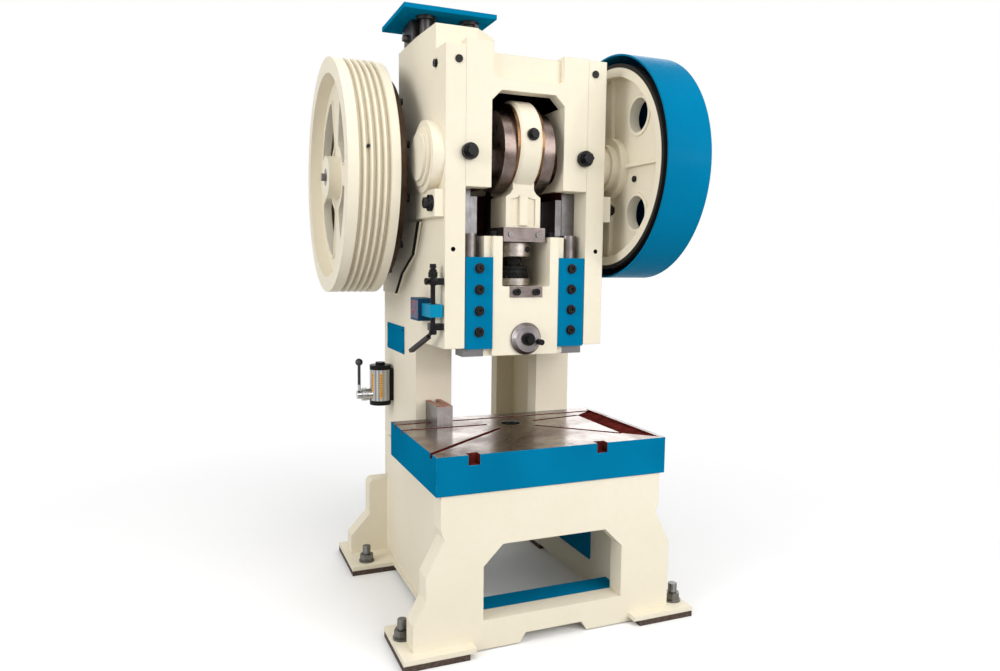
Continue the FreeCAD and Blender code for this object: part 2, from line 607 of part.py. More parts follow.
def bolsterPlate():
    p = Piece("bolster_plate")
    front, back = -s.bedFront, s.bedDepth - s.bedFront
    half = s.bedWidth / 2
    p.pad("Z", bedUnder, 0, Rect(-half, half, front, back))
    p.pocket("Z", bedUnder, 0, Disc(0, 0, s.dieHole))
    slotHalf = s.slotWidth / 2
    inner = s.slotPad * math.sqrt(0.5)
    p.pocket("Z", -s.slotDepth, 0,
             channel(-half - s.slotWidth, front + s.slotStart, -inner, -inner, slotHalf))
    p.pocket("Z", -s.slotDepth, 0, channel(-half - s.slotWidth, s.sideSlot, -s.slotPad, 0, slotHalf))
    p.pocket("Z", -s.slotDepth, 0, channel(s.recessInner, front + s.recessFront, inner, -inner, slotHalf))
    p.pocket("Z", -s.slotDepth, 0, channel(s.recessInner, s.recessBack, s.slotPad, slotHalf, slotHalf))
    p.pocket("Z", -s.slotDepth, 0, Rect(-half, s.rearSlotEnd, s.rearSlot - slotHalf, s.rearSlot + slotHalf))
    p.pocket("Z", -s.recessDepth, 0, Poly(
        (half - s.recessEdge, front + s.recessEdge), (half - s.recessEdge, back - s.recessEdge),
        (s.rearSlotEnd, s.rearSlot), (s.recessInner, s.recessBack),
        (s.recessInner, front + s.recessFront)))
    for middle in (-s.notchLeft, s.notchRight):
        p.pocket("Z", -s.slotDepth * 2, 0, Rect(
            middle - s.notchWidth / 2, middle + s.notchWidth / 2, front, front + s.notchDepth))
    return p.done()


def floorPads():
    low, high = floorLevel, above(s.padThick)
    frontFoot = -s.bedFront - s.footFront
    rearFoot = s.rearFootStart
    pads = []
    for side, name in ((-1, "left"), (1, "right")):
        for start, deep, inner, place in (
                (frontFoot, s.footLength, s.padInner, "front"),
                (rearFoot, s.rearFootLength, s.wallHalf - s.wallThick, "rear")):
            x = ordered(inner * side, s.footHalf * side)
            pad = block("pad_%s_%s" % (place, name), (x[0], start, low), (x[1], start + deep, high))
            x0, y0 = anchorSpots[(0 if side < 0 else 1) + (0 if place == "front" else 2)]
            hole = rod("pad_hole_%s_%s" % (place, name), (x0, y0, low), "Z", s.anchorHole, s.padThick)
            pads.append(cut("foot_pad_%s_%s" % (place, name), pad, hole))
    return group("floor_pads", pads)


def anchors():
    footTop = above(s.padThick + s.footThick)
    studs, nuts = [], []
    for number, (x, y) in enumerate(anchorSpots):
        studs.append(rod("anchor_stud%d" % number, (x, y, floorLevel), "Z", s.anchorRadius,
                         s.padThick + s.footThick + s.anchorStand))
        washer = rod("anchor_washer%d" % number, (x, y, footTop), "Z", s.washerRadius, s.washerThick)
        nut = hexBar("anchor_hex%d" % number, (x, y, footTop + s.washerThick), "Z",
                     s.anchorRadius * 1.85, s.anchorRadius * 1.7)
        hole = rod("anchor_thread%d" % number, (x, y, footTop), "Z", s.anchorRadius + s.runningFit,
                   s.anchorStand)
        nuts.append(cut("anchor_nut%d" % number, fuse("anchor_stack%d" % number, [washer, nut]), hole))
    group("anchor_studs", studs)
    group("anchor_nuts", nuts)


def baseSheets():
    # painted sheets inside the base: a shelf behind the bay and a panel on each side wall
    inner = s.wallHalf - s.wallThick
    shelf = block("shelf", (-inner, plateBack, above(s.bayBottom) - s.sheetThick),
                  (inner, plateBack + s.shelfDepth, above(s.bayBottom)))
    panels = [shelf]
    for side, name in ((-1, "left"), (1, "right")):
        x = ordered((inner - s.sheetThick) * side, inner * side)
        panels.append(block("panel_" + name, (x[0], -s.chuteHalf, above(s.sheetLow)),
                            (x[1], s.gussetStart, deckUnder - s.sheetGap)))
    group("base_sheets", panels)


def crankBridge():
    # front casting that closes the bearing housings: two pillars, a sunk panel and the rod window
    p = Piece("crank_bridge")
    half = s.cavityHalf - s.bridgeFit
    lintel = s.crankHeight + s.lintelRise
    leftTop = s.crankHeight + s.bridgeLeftRise
    rightTop = s.crankHeight + s.bridgeRightRise
    panelTop = s.crankHeight + s.panelRise
    p.pad("Y", stripFace, cheekBack, Poly(
        (-half, housingBottom), (-half, leftTop), (-s.panelHalf, leftTop), (-s.panelHalf, panelTop),
        (s.panelHalf, panelTop), (s.panelHalf, rightTop), (half, rightTop), (half, housingBottom),
        (s.housingHalf, housingBottom), (s.housingHalf, lintel - s.windowCorner),
        (s.housingHalf - s.windowCorner, lintel), (s.windowCorner - s.housingHalf, lintel),
        (-s.housingHalf, lintel - s.windowCorner), (-s.housingHalf, housingBottom)))
    p.pocket("Y", stripFace, stripFace + s.bridgeDeep, *[Disc(x, z, s.bridgeShank) for x, z in bridgeSpots])
    panelLow = s.crankHeight + s.panelLow
    p.pocket("Y", stripFace, stripFace + s.panelDeep, Poly(
        (-s.panelHalf, panelTop), (-s.panelHalf, panelLow + s.panelCorner),
        (-s.panelHalf + s.panelCorner, panelLow), (s.panelHalf - s.panelCorner, panelLow),
        (s.panelHalf, panelLow + s.panelCorner), (s.panelHalf, panelTop)))
    return p.done()


def bearings():
    # plain bushes of the crankshaft and of the drive shaft, and the covers on the left boss
    bushes = []
    for name, low, high in (("left", -bossEnd, -s.housingHalf), ("right", s.housingHalf, s.frameHalf)):
        place = (low, 0, s.crankHeight)
        outer = rod("crank_bush_outer_" + name, place, "X", bushRadius, high - low)
        inner = rod("crank_bush_inner_" + name, place, "X", s.journalRadius + s.runningFit, high - low)
        bushes.append(cut("crank_bush_" + name, outer, inner))
    group("crank_bushes", bushes)
    flanged = []
    for side, name in ((-1, "left"), (1, "right")):
        outerFace = s.frameHalf + s.housingLength
        x = ordered(s.cavityHalf * side, outerFace * side)
        flangeStart = -outerFace if side < 0 else s.frameHalf
        sleeve = rod("drive_sleeve_" + name, (x[0], shaftPlace, shaftHeight), "X", driveBore, x[1] - x[0])
        flange = rod("drive_flange_" + name, (flangeStart, shaftPlace, shaftHeight), "X",
                     s.housingRadius, s.housingLength)
        bore = rod("drive_bore_" + name, (x[0], shaftPlace, shaftHeight), "X",
                   s.shaftRadius + s.runningFit, x[1] - x[0])
        flanged.append(cut("drive_bearing_" + name, fuse("drive_housing_" + name, [sleeve, flange]), bore))
    group("drive_bearings", flanged)
    ring = rod("cover_ring", (-bossEnd, 0, s.crankHeight), "-X", s.coverRadius, s.coverThick)
    cap = rod("cover_cap", (-bossEnd - s.coverThick, 0, s.crankHeight), "-X", s.capRadius, s.capThick)
    finished("left_bearing_cover", fuse("bearing_cover", [ring, cap]))


def crankShaft():
    p = Piece("crankshaft")
    webStart = s.rodWidth / 2 + s.flangeThick + s.guideGap
    webEnd = webStart + s.webThick
    crankRight = hubEnd + s.crankStub
    p.pad("X", -webStart, webStart, Disc(0, pinHeight, s.pinRadius))
    for low, high in ((-webEnd, -webStart), (webStart, webEnd)):
        p.pad("X", low, high, Disc(0, s.crankHeight + s.webOffset, s.webRadius))
    p.pad("X", s.endPlay - bossEnd, -webEnd, Disc(0, s.crankHeight, s.journalRadius))
    p.pad("X", webEnd, crankRight, Disc(0, s.crankHeight, s.journalRadius))
    p.chamfer(s.edgeBreak, lambda m, e: abs(m.x - crankRight.value) < 0.1)
    p.done()
    outer = rod("collar_outer", (s.frameHalf + s.guideGap, 0, s.crankHeight), "X",
                s.collarRadius, s.collarLength)
    inner = rod("collar_inner", (s.frameHalf + s.guideGap, 0, s.crankHeight), "X",
                s.journalRadius, s.collarLength)
    finished("crank_collar", cut("collar_ring", outer, inner))


def involutePoints(teeth, module, phase, backlash):
    # outline of a spur gear around its own centre, one tooth centred on the angle phase
    pitch = module * teeth / 2
    base = pitch * math.cos(math.radians(20))
    tip = pitch + 0.9 * module
    foot = pitch - 1.2 * module
    flankStart = max(base, foot)
    halfTooth = math.pi / (2 * teeth) - backlash / pitch
    atPitch = math.tan(math.acos(base / pitch)) - math.acos(base / pitch)
    steps = 4
    flank = []
    for k in range(steps):
        radius = flankStart + (tip - flankStart) * k / (steps - 1)
        turn = math.acos(base / radius)
        flank.append((radius, halfTooth + atPitch - (math.tan(turn) - turn)))
    if foot < base:
        flank.insert(0, (foot, flank[0][1]))
    points = []
    for tooth in range(teeth):
        middle = phase + 2 * math.pi * tooth / teeth
        points += [(radius, middle - half) for radius, half in flank]
        points += [(radius, middle + half) for radius, half in reversed(flank)]
    return [(radius * math.cos(angle), radius * math.sin(angle)) for radius, angle in points]


def toothedBar(name, centre, teeth, phase, start, width):
    # a toothed prism along X
    spots = [Vector(start.value, centre[0].value + y, centre[1].value + z)
             for y, z in involutePoints(teeth, s.toothModule.value, phase, s.backlash.value)]
    face = Part.Face(Part.makePolygon(spots + spots[:1]))
    item = doc.addObject("Part::Feature", name)
    item.Shape = face.extrude(Vector(width.value, 0, 0))
    return item


def gearWheel():
    # toothed rim beside a plain shroud, web with two ribs, bossed light holes and a stepped hub
    centre = (asSize(0), s.crankHeight)
    towardsPinion = math.atan2(shaftHeight.value - s.crankHeight.value, shaftPlace.value)
    toothStart = gearStart + s.shroudThick
    blank = toothedBar("gear_teeth", centre, sizes["gearTeeth"], towardsPinion, toothStart,
                       s.gearWidth - s.shroudThick)
    place = (gearStart, 0, s.crankHeight)
    rimInner = gearPitch - s.rimWall
    shroud = rod("gear_shroud", place, "X", s.shroudRadius, s.shroudThick)
    hollow = rod("gear_hollow", place, "X", rimInner, s.gearWidth)
    rim = cut("gear_rim", fuse("gear_rim_solid", [blank, shroud]), hollow)
    webStart = gearStart + (s.gearWidth - s.gearWebThick) / 2
    web = rod("gear_web", (webStart, 0, s.crankHeight), "X", rimInner, s.gearWebThick)
    step = rod("gear_hub_step", (hubStart, 0, s.crankHeight), "X", s.hubStep, s.gearHubLength)
    hub = rod("gear_hub", (hubStart + s.hubStepLength, 0, s.crankHeight), "X", s.gearHub,
              s.gearHubLength - s.hubStepLength * 2)
    ribHalf = s.gearRib / 2
    ribLow, ribHigh = gearStart + s.gearRib, gearStart + s.gearWidth - s.gearRib
    across = block("gear_rib_level", (ribLow, -rimInner, s.crankHeight - ribHalf),
                   (ribHigh, rimInner, s.crankHeight + ribHalf))
    upright = block("gear_rib_upright", (ribLow, -ribHalf, s.crankHeight - rimInner),
                    (ribHigh, ribHalf, s.crankHeight + rimInner))
    bosses, holes = [], []
    offset = s.lightCircle * math.sqrt(0.5)
    for number, (a, b) in enumerate(((1, 1), (1, -1), (-1, -1), (-1, 1))):
        y, z = offset * a, s.crankHeight + offset * b
        bosses.append(rod("gear_boss%d" % number, (webStart - s.holeBossRise, y, z), "X", s.holeBoss,
                          s.gearWebThick + s.holeBossRise * 2))
        holes.append(rod("gear_hole%d" % number, (gearStart, y, z), "X", s.lightHole, s.gearWidth))
    holes.append(rod("gear_bore", (hubStart, 0, s.crankHeight), "X", s.journalRadius, s.gearHubLength))
    solid = fuse("gear_solid", [rim, web, step, hub, across, upright, *bosses])
    finished("gear_wheel", cut("gear_finished", solid, fuse("gear_holes", holes)))


def driveShaft():
    p = Piece("drive_shaft")
    neckStart = flyStart - s.guideGap
    shaftRight = gearStart + s.gearWidth + s.shaftStub
    p.turned("X", (shaftPlace, shaftHeight), Poly(
        (-flyEnd - s.tipLength, 0), (-flyEnd - s.tipLength, s.tipRadius), (-flyEnd, s.tipRadius),
        (-flyEnd, s.flyNeck), (-neckStart, s.flyNeck), (-neckStart, s.shaftRadius),
        (shaftRight, s.shaftRadius), (shaftRight, 0)))
    p.done()
    towardsGear = math.atan2(s.crankHeight.value - shaftHeight.value, -shaftPlace.value)
    phase = towardsGear + math.pi / sizes["pinionTeeth"]
    start = gearStart + s.shroudThick + s.pinionGap
    width = s.gearWidth - s.shroudThick - s.pinionGap
    blank = toothedBar("pinion_teeth", (shaftPlace, shaftHeight), sizes["pinionTeeth"], phase, start, width)
    bore = rod("pinion_bore", (start, shaftPlace, shaftHeight), "X", s.shaftRadius, width)
    finished("pinion", cut("pinion_finished", blank, bore))


def flywheelWindow(number, grow, start, width):
    # rounded sector for one window of the web, or, grown by its rim, for the raised edge around it
    name = "%d_%d" % (number, grow.value)
    spread = sizes["windowSpread"] + 2 * math.degrees(grow.value / s.windowOuter.value)
    place = (start, shaftPlace, shaftHeight)
    sector = rod("window_sector" + name, place, "X", s.windowOuter + grow, width)
    sector.Angle = spread
    middle = 360 * (number + 0.5) / sizes["windowCount"]
    spin = Rotation(Vector(0, 0, 1), middle - spread / 2)
    sector.Placement = Placement(sector.Placement.Base, turns["X"].multiply(spin))
    window = cut("window" + name, sector, rod("window_core" + name, place, "X", s.windowInner - grow, width))
    doc.recompute()
    rounds = doc.addObject("Part::Fillet", "window_round" + name)
    rounds.Base = window
    radius = (s.windowRound + grow).value
    rounds.Edges = [(n, radius, radius) for n, e in enumerate(window.Shape.Edges, start=1)
                    if abs(e.Vertexes[0].X - e.Vertexes[-1].X) > width.value / 2]
    return rounds


def flywheel():
    # dished belt wheel with V grooves; the web has windows with a raised edge
    p = Piece("flywheel_blank")
    near, far = -flyEnd, -flyStart
    rimInner = s.flyRadius - s.flyRim
    webOuter = near + s.flyWebPlace
    webInner = webOuter + s.flyWebThick
    ridges = []
    for k in range(sizes["grooveCount"]):
        middle = near + s.grooveStart + s.groovePitch * (k + 0.5)
        floor = s.flyRadius - s.grooveDepth
        ridges += [(middle - s.grooveTop / 2, s.flyRadius), (middle - s.grooveFloor / 2, floor),
                   (middle + s.grooveFloor / 2, floor), (middle + s.grooveTop / 2, s.flyRadius)]
    bore = s.flyNeck + s.runningFit
    p.turned("X", (shaftPlace, shaftHeight), Poly(
        (near, bore), (near, s.flyHub), (webOuter, s.flyHub), (webOuter, rimInner), (near, rimInner),
        (near, s.flyRadius), *ridges, (far, s.flyRadius), (far, rimInner), (webInner, rimInner),
        (webInner, s.flyHub), (far, s.flyHub), (far, bore)))
    numbers = range(sizes["windowCount"])
    edgeStart = webOuter - s.windowRimRise
    edges = [flywheelWindow(k, s.windowRim, edgeStart, s.windowRimRise + s.flyWebThick) for k in numbers]
    windows = [flywheelWindow(k, asSize(0), near, s.flyWidth) for k in numbers]
    solid = fuse("flywheel_solid", [p.body, *edges])
    finished("flywheel", cut("flywheel_finished", solid, fuse("flywheel_windows", windows)))

    # friction lining on the rim and the clutch plate that it runs against
    place = (-flyStart, shaftPlace, shaftHeight)
    outer = rod("lining_outer", place, "X", s.liningRadius, s.liningThick)
    inner = rod("lining_inner", place, "X", s.liningInner, s.liningThick)
    finished("friction_lining", cut("lining_ring", outer, inner))
    clutchStart = -flyStart + s.liningThick + s.clutchGap
    place = (clutchStart, shaftPlace, shaftHeight)
    outer = rod("clutch_outer", place, "X", s.plateRadius, s.clutchThick)
    inner = rod("clutch_inner", place, "X", s.shaftRadius, s.clutchThick)
    finished("clutch_plate", cut("clutch_disc", outer, inner))
    boltCircle = s.plateRadius - s.clutchBoltInset
    bolts = []
    for k in range(sizes["clutchBolts"]):
        angle = math.radians(360 * (k + 0.5) / sizes["clutchBolts"])
        spot = (clutchStart + s.clutchThick, shaftPlace + boltCircle * math.cos(angle),
                shaftHeight + boltCircle * math.sin(angle))
        bolts.append(hexBar("clutch_bolt%d" % k, spot, "X", s.clutchBolt, s.clutchBoltHigh))
    group("clutch_bolts", bolts)


def guards():
    # round guard around the gear wheel, closed at its outer end, with a bulge for the pinion
    def drum(name, grow, start, width):
        big = rod("guard_big_" + name, (start, 0, s.crankHeight), "X", s.guardRadius + grow, width)
        small = rod("guard_small_" + name, (start, shaftPlace, shaftHeight), "X", s.pinionGuard + grow, width)
        return fuse("guard_" + name, [big, small])

    outer = drum("outer", asSize(0), guardStart, s.guardWidth)
    inner = drum("inner", -s.guardWall, guardStart, s.guardWidth - s.guardWall)
    finished("gear_guard", cut("guard_drum", outer, inner))
    arms = []
    inside = s.guardRadius - s.guardWall
    reach = rootOf(inside * inside - s.armWidth * s.armWidth / 4) - s.armThick
    for number, angle in enumerate((56, 28, -46)):
        lean = Rotation(Vector(1, 0, 0), angle)
        corner = lean.multVec(Vector(0, 1, 0))
        side = lean.multVec(Vector(0, 0, 1))
        y = reach * corner.y - s.armWidth / 2 * side.y
        arm = block("guard_arm%d" % number, (s.frameHalf, 0, 0),
                    (guardStart + s.armWidth, s.armThick, s.armWidth))
        bind(arm, "Placement.Base.y", y)
        bind(arm, "Placement.Base.z", s.crankHeight + reach * corner.z - s.armWidth / 2 * side.z)
        arm.Placement = Placement(arm.Placement.Base, lean)
        arms.append(arm)
    group("guard_arms", arms)

    # plate on the column behind the flywheel; a black strip runs down its front edge
    top = sidePadLow - s.shieldGap
    knee, bend = shaftHeight - s.shieldKneeDrop, shaftHeight - s.shieldBendDrop
    foot = shaftHeight - s.shieldFootDrop
    edge = [(s.shieldTopFront, top), (s.shieldKneeFront, knee), (s.shieldBendFront, bend),
            (s.shieldFootFront, foot)]
    start = -s.frameHalf - s.shieldThick
    p = Piece("flywheel_shield")
    p.pad("X", start, -s.frameHalf, Poly(*edge, (s.shieldTopRear, foot), (s.shieldTopRear, top)))
    p.done()
    inner = [(y + s.edgeWide, z) for y, z in reversed(edge)]
    p = Piece("shield_edge")
    p.pad("X", start - s.edgeThick, start, Poly(*edge, *inner))
    p.done()


def connectingRod():
    # the levels go up from the ram: ring, seat, open screw, lock nut, clamp, then the rod itself
    ringLow = s.ramSlotBottom + s.ringLift
    seatLow = ringLow + s.ringHeight
    nutLow = seatLow + s.seatHeight + s.screwShow
    clampLow = nutLow + s.nutHeight
    shankBottom = clampLow + s.clampHeight
    shankTop = s.crankHeight - s.shankTopDrop
    flareTop = s.crankHeight - s.flareDrop
    p = Piece("connecting_rod")
    half = s.rodWidth / 2
    p.pad("X", -half, half, Disc(0, pinHeight, s.bigEndRadius))
    p.pad("Y", -s.shankFront, s.shankDepth, Poly(
        (-s.shankHalf, shankBottom), (-s.shankHalf, shankTop), (-s.flareWaist, shankTop + s.flareStep),
        (-half, flareTop), (-half, pinHeight), (half, pinHeight), (half, flareTop),
        (s.flareWaist, shankTop + s.flareStep), (s.shankHalf, shankTop), (s.shankHalf, shankBottom)))
    p.pad("Y", -s.shankFront - s.ribHeight, -s.shankFront,
          Rect(-s.ribHalf, s.ribHalf, shankBottom + s.ribHeight, shankTop + s.ribHeight))
    p.pocket("Y", -s.shankFront, s.fluteDeep - s.shankFront, *bothSides([
        (s.ribHalf, shankBottom + s.ribHeight), (s.fluteHalf, shankBottom + s.ribHeight),
        (s.fluteHalf, shankTop - s.ribHeight), (s.ribHalf, shankTop)]))
    p.pocket("X", -half, half, Disc(0, pinHeight, s.pinRadius + s.rodBushWall))
    p.pocket("Z", shankBottom, shankBottom + s.screwGrip, Disc(0, 0, s.screwRadius + s.runningFit))
    boltPlace = rootOf(s.bigEndRadius * s.bigEndRadius - s.capBoltRise * s.capBoltRise)
    spot = s.spotDeep - boltPlace
    boltHeight = pinHeight + s.capBoltRise
    p.pocket("Y", -s.bigEndRadius, spot, Disc(0, boltHeight, s.capCollar))
    p.pocket("Y", spot, spot + s.smallDeep, Disc(0, boltHeight, s.smallShank))
    p.chamfer(s.rodChamfer, lambda m, e: abs(abs(m.x) - half.value) < 0.1
              and e.Curve.TypeId == "Part::GeomCircle"
              and abs(e.Curve.Radius - s.bigEndRadius.value) < 0.1)
    p.done()
    p = Piece("rod_bush")
    bushEnd = half + s.flangeThick
    inner = s.pinRadius + s.runningFit
    outer = s.pinRadius + s.rodBushWall
    p.turned("X", (0, pinHeight), Poly(
        (-bushEnd, inner), (-bushEnd, s.rodBushFlange), (-half, s.rodBushFlange), (-half, outer),
        (half, outer), (half, s.rodBushFlange), (bushEnd, s.rodBushFlange), (bushEnd, inner)))
    p.done()

    clampSpots = [((s.clampHalf - s.rodScrewInset) * side, clampLow + s.clampHeight / 2) for side in (-1, 1)]
    p = Piece("rod_clamp")
    p.pad("Z", clampLow, shankBottom, Rect(-s.clampHalf, s.clampHalf, -s.clampFront, s.clampDepth))
    p.pocket("Z", clampLow, shankBottom, Disc(0, 0, s.screwRadius + s.runningFit))
    p.pocket("Z", clampLow, shankBottom,
             Rect(s.screwRadius, s.clampHalf, -s.clampSlit / 2, s.clampSlit / 2))
    p.pocket("Y", -s.clampFront, s.smallDeep - s.clampFront,
             *[Disc(x, z, s.smallShank) for x, z in clampSpots])
    p.done()
    p = Piece("lock_nut")
    p.pad("Z", nutLow, clampLow, Disc(0, 0, s.nutRadius), Disc(0, 0, s.screwRadius + s.runningFit))
    p.chamfer(s.edgeBreak, lambda m, e: e.Curve.TypeId == "Part::GeomCircle"
              and abs(e.Curve.Radius - s.nutRadius.value) < 0.1)
    p.done()
    p = Piece("ball_seat")
    p.pad("Z", seatLow, seatLow + s.seatHeight, Disc(0, 0, s.seatRadius),
          Disc(0, 0, s.screwRadius + s.runningFit))
    p.chamfer(s.edgeBreak, lambda m, e: e.Curve.TypeId == "Part::GeomCircle"
              and abs(e.Curve.Radius - s.seatRadius.value) < 0.1)
    p.done()
    p = Piece("seat_ring")
    p.pad("Z", ringLow, seatLow, Disc(0, 0, s.ringRadius), Disc(0, 0, s.screwRadius + s.runningFit))
    p.done()
    p = Piece("adjusting_screw")
    ballLevel = s.ramSlotBottom - s.ballDrop
    reach = rootOf(s.ballRadius * s.ballRadius - s.neckRadius * s.neckRadius)
    p.turned("Z", (0, 0), Poly(
        (0, ballLevel), (s.neckRadius, ballLevel + reach), (s.neckRadius, ringLow),
        (s.screwRadius, ringLow), (s.screwRadius, shankBottom + s.screwGrip - s.edgeBreak),
        (0, shankBottom + s.screwGrip - s.edgeBreak)))
    ball = doc.addObject("Part::Sphere", "screw_ball")
    bind(ball, "Radius", s.ballRadius)
    seat(ball, (0, 0, ballLevel))
    finished("adjusting_screw", fuse("adjusting_screw_finished", [p.body, ball]))

    screws = [screw("clamp_screw%d" % n, (x, -s.clampFront, z), "-Y", s.smallHead, s.smallHead * 0.5,
                    s.smallShank, s.smallDeep) for n, (x, z) in enumerate(clampSpots)]
    group("clamp_screws", screws)
    finished("big_end_bolt", collarBolt("big_end_cap_bolt", (0, spot, boltHeight), "-Y", s.capCollar,
                                        s.capHead, s.capStand, s.smallShank, s.smallDeep))


def ramPieces():
    # the cup under the slot leaves the ball and its ring the room that they need in a stroke
    p = Piece("ram")
    cupHalf = s.ringRadius + s.cupGap
    corners = [(s.ramHalf, -s.ramFront), (s.ramHalf, earFront), (s.earHalf, earFront),
               (s.earHalf, s.earRear), (s.ramHalf, s.earRear), (s.ramHalf, s.ramRear)]
    p.pad("Z", s.ramBottom, s.ramTop, Poly(*corners, *[(-x, y) for x, y in reversed(corners)]))
    p.pocket("Y", -s.ramFront, s.ramRear, Rect(-s.ramSlotHalf, s.ramSlotHalf, s.ramSlotBottom, s.ramTop))
    p.pocket("Z", s.ramSlotBottom - s.cupDepth, s.ramSlotBottom,
             Rect(-cupHalf, cupHalf, -cupHalf, cupHalf + s.cupRun))
    retainerLow = s.ramSlotBottom - s.retainerHeight
    p.pocket("Y", -s.ramFront, s.retainerThick - s.ramFront,
             Rect(-s.retainerHalf, s.retainerHalf, retainerLow, s.ramSlotBottom))
    p.pocket("Z", s.ramBottom, s.ramBottom + s.shankBoreDepth, Disc(0, 0, s.shankBore))
    p.pocket("Y", -s.ramFront, s.dialPinDeep - s.ramFront,
             Disc(0, s.dialHeight, s.dialPin + s.runningFit))
    p.pocket("Y", s.retainerThick - s.ramFront, s.retainerThick * 1.8 - s.ramFront,
             *[Disc(s.retainerScrew * side, retainerLow + s.retainerHeight / 2, s.smallShank)
               for side in (-1, 1)])
    topSpots = [((s.ramSlotHalf + s.ramHalf) / 2 * side, s.topScrewBack - s.ramFront) for side in (-1, 1)]
    p.pocket("Z", s.ramTop - s.smallDeep, s.ramTop, *[Disc(x, y, s.smallShank) for x, y in topSpots])
    p.fillet(s.ramRound, lambda m, e: abs(abs(m.x) - s.ramSlotHalf.value) < 0.1
             and abs(m.z - s.ramSlotBottom.value) < 0.1)
    p.done()
    p = Piece("seat_retainer")
    p.pad("Y", -s.ramFront - s.retainerProud, s.retainerThick - s.ramFront,
          Rect(-s.retainerHalf, s.retainerHalf, retainerLow, s.ramSlotBottom))
    p.pocket("Y", -s.ramFront - s.retainerProud, s.retainerThick - s.ramFront,
             *[Disc(s.retainerScrew * side, retainerLow + s.retainerHeight / 2, s.smallShank)
               for side in (-1, 1)])
    p.done()
    face = -s.ramFront - s.retainerProud
    screws = [screw("retainer_screw%d" % n, (s.retainerScrew * side, face,
                                             retainerLow + s.retainerHeight / 2), "-Y",
                    s.mediumHead, s.mediumHead * 0.9, s.smallShank, s.retainerThick * 1.5)
              for n, side in enumerate((-1, 1))]
    tops = [screw("ram_top_screw%d" % n, (x, y, s.ramTop), "Z", s.mediumHead, s.mediumHead * 1.4,
                  s.smallShank, s.smallDeep) for n, (x, y) in enumerate(topSpots)]
    group("ram_screws", screws + tops)

    p = Piece("ram_dial")
    face = -s.ramFront - s.guideGap
    rim = s.dialThick * 0.35
    p.turned("Y", (0, s.dialHeight), Poly(
        (0, s.dialPinDeep - s.ramFront - s.guideGap), (s.dialPin, s.dialPinDeep - s.ramFront - s.guideGap),
        (s.dialPin, face), (s.dialRadius, face), (s.dialRadius, face - rim),
        (s.dialTop, face - s.dialThick), (0, face - s.dialThick)))
    knob = face - s.dialThick
    p.pocket("Y", knob, knob + s.smallDeep, Disc(0, s.dialHeight, s.smallShank))
    p.done()
    hub = collarBolt("dial_hub_nut", (0, knob, s.dialHeight), "-Y", s.hubRadius, s.hubRadius * 0.6,
                     s.hubLength, s.smallShank, s.smallDeep)
    grip = rod("dial_grip", (s.handleOffset, knob + s.dialThick * 0.5, s.dialHeight - s.handleRadius), "-Y",
               s.handleRadius, s.handleLength + s.dialThick * 0.5)
    seatBlock = block("dial_grip_seat", (s.handleOffset - s.dialRadius, knob, s.dialHeight - s.dialRadius),
                      (s.handleOffset + s.dialRadius, s.ramFront, s.dialHeight + s.dialRadius))
    group("dial_hub", [hub, cut("dial_grip_end", grip, seatBlock)])


def ramGuides():
    posts, bolts, plates, blocks, rails = [], [], [], [], []
    for side, name in ((-1, "left"), (1, "right")):
        p = Piece("gib_plate_" + name)
        x = ordered((s.ramHalf + s.guideGap) * side, s.gibPlateOuter * side)
        p.pad("Y", stripFace, guideFace, Rect(x[0], x[1], s.gibBottom, s.gibTop))
        spots = [spot for spot in gibSpots if spot[0].value * side > 0]
        p.pocket("Y", stripFace, guideFace, *[Disc(x, z, s.gibShank) for x, z in spots])
        plates.append(p.half())

        p = Piece("gib_block_" + name)
        x = ordered((s.earHalf + s.guideGap) * side, s.cavityHalf * side)
        p.pad("Y", guideFace, -s.gibBlockRear, Rect(x[0], x[1], s.barBottom, s.gibTop))
        p.pocket("Y", guideFace, guideFace + s.gibGrip, *[Disc(x, z, s.gibShank) for x, z in spots])
        blocks.append(p.half())

        # guide rail with the lip that holds the ear of the ram from behind
        p = Piece("guide_rail_" + name)
        lip = s.ramHalf + s.guideGap
        ear = s.earHalf + s.guideGap
        earBack = s.earRear + s.guideGap
        outline = [(s.railOuter, -s.gibBlockRear), (s.railOuter, s.ramRear), (lip, s.ramRear),
                   (lip, earBack), (ear, earBack), (ear, -s.gibBlockRear)]
        p.pad("Z", s.barBottom, barTop, Poly(*[(x * side, y) for x, y in outline]))
        rails.append(p.half())

        post = rod("post_" + name, ((s.earHalf + s.guideGap + s.postRadius + s.guidePostInset) * side,
                                    -s.gibBlockRear - s.postRadius - s.guideGap, s.gibTop), "Z",
                   s.postRadius, s.postHeight)
        posts.append(post)
    for number, (x, z) in enumerate(gibSpots):
        bolts.append(screw("gib_bolt%d" % number, (x, stripFace, z), "-Y", s.gibHead, s.gibHead * 0.8,
                           s.gibShank, s.gibPlateThick + s.gibGrip))
    group("gib_plates", plates)
    group("gib_blocks", blocks)
    group("guide_rails", rails)
    group("guide_posts", posts)
    group("gib_bolts", bolts)


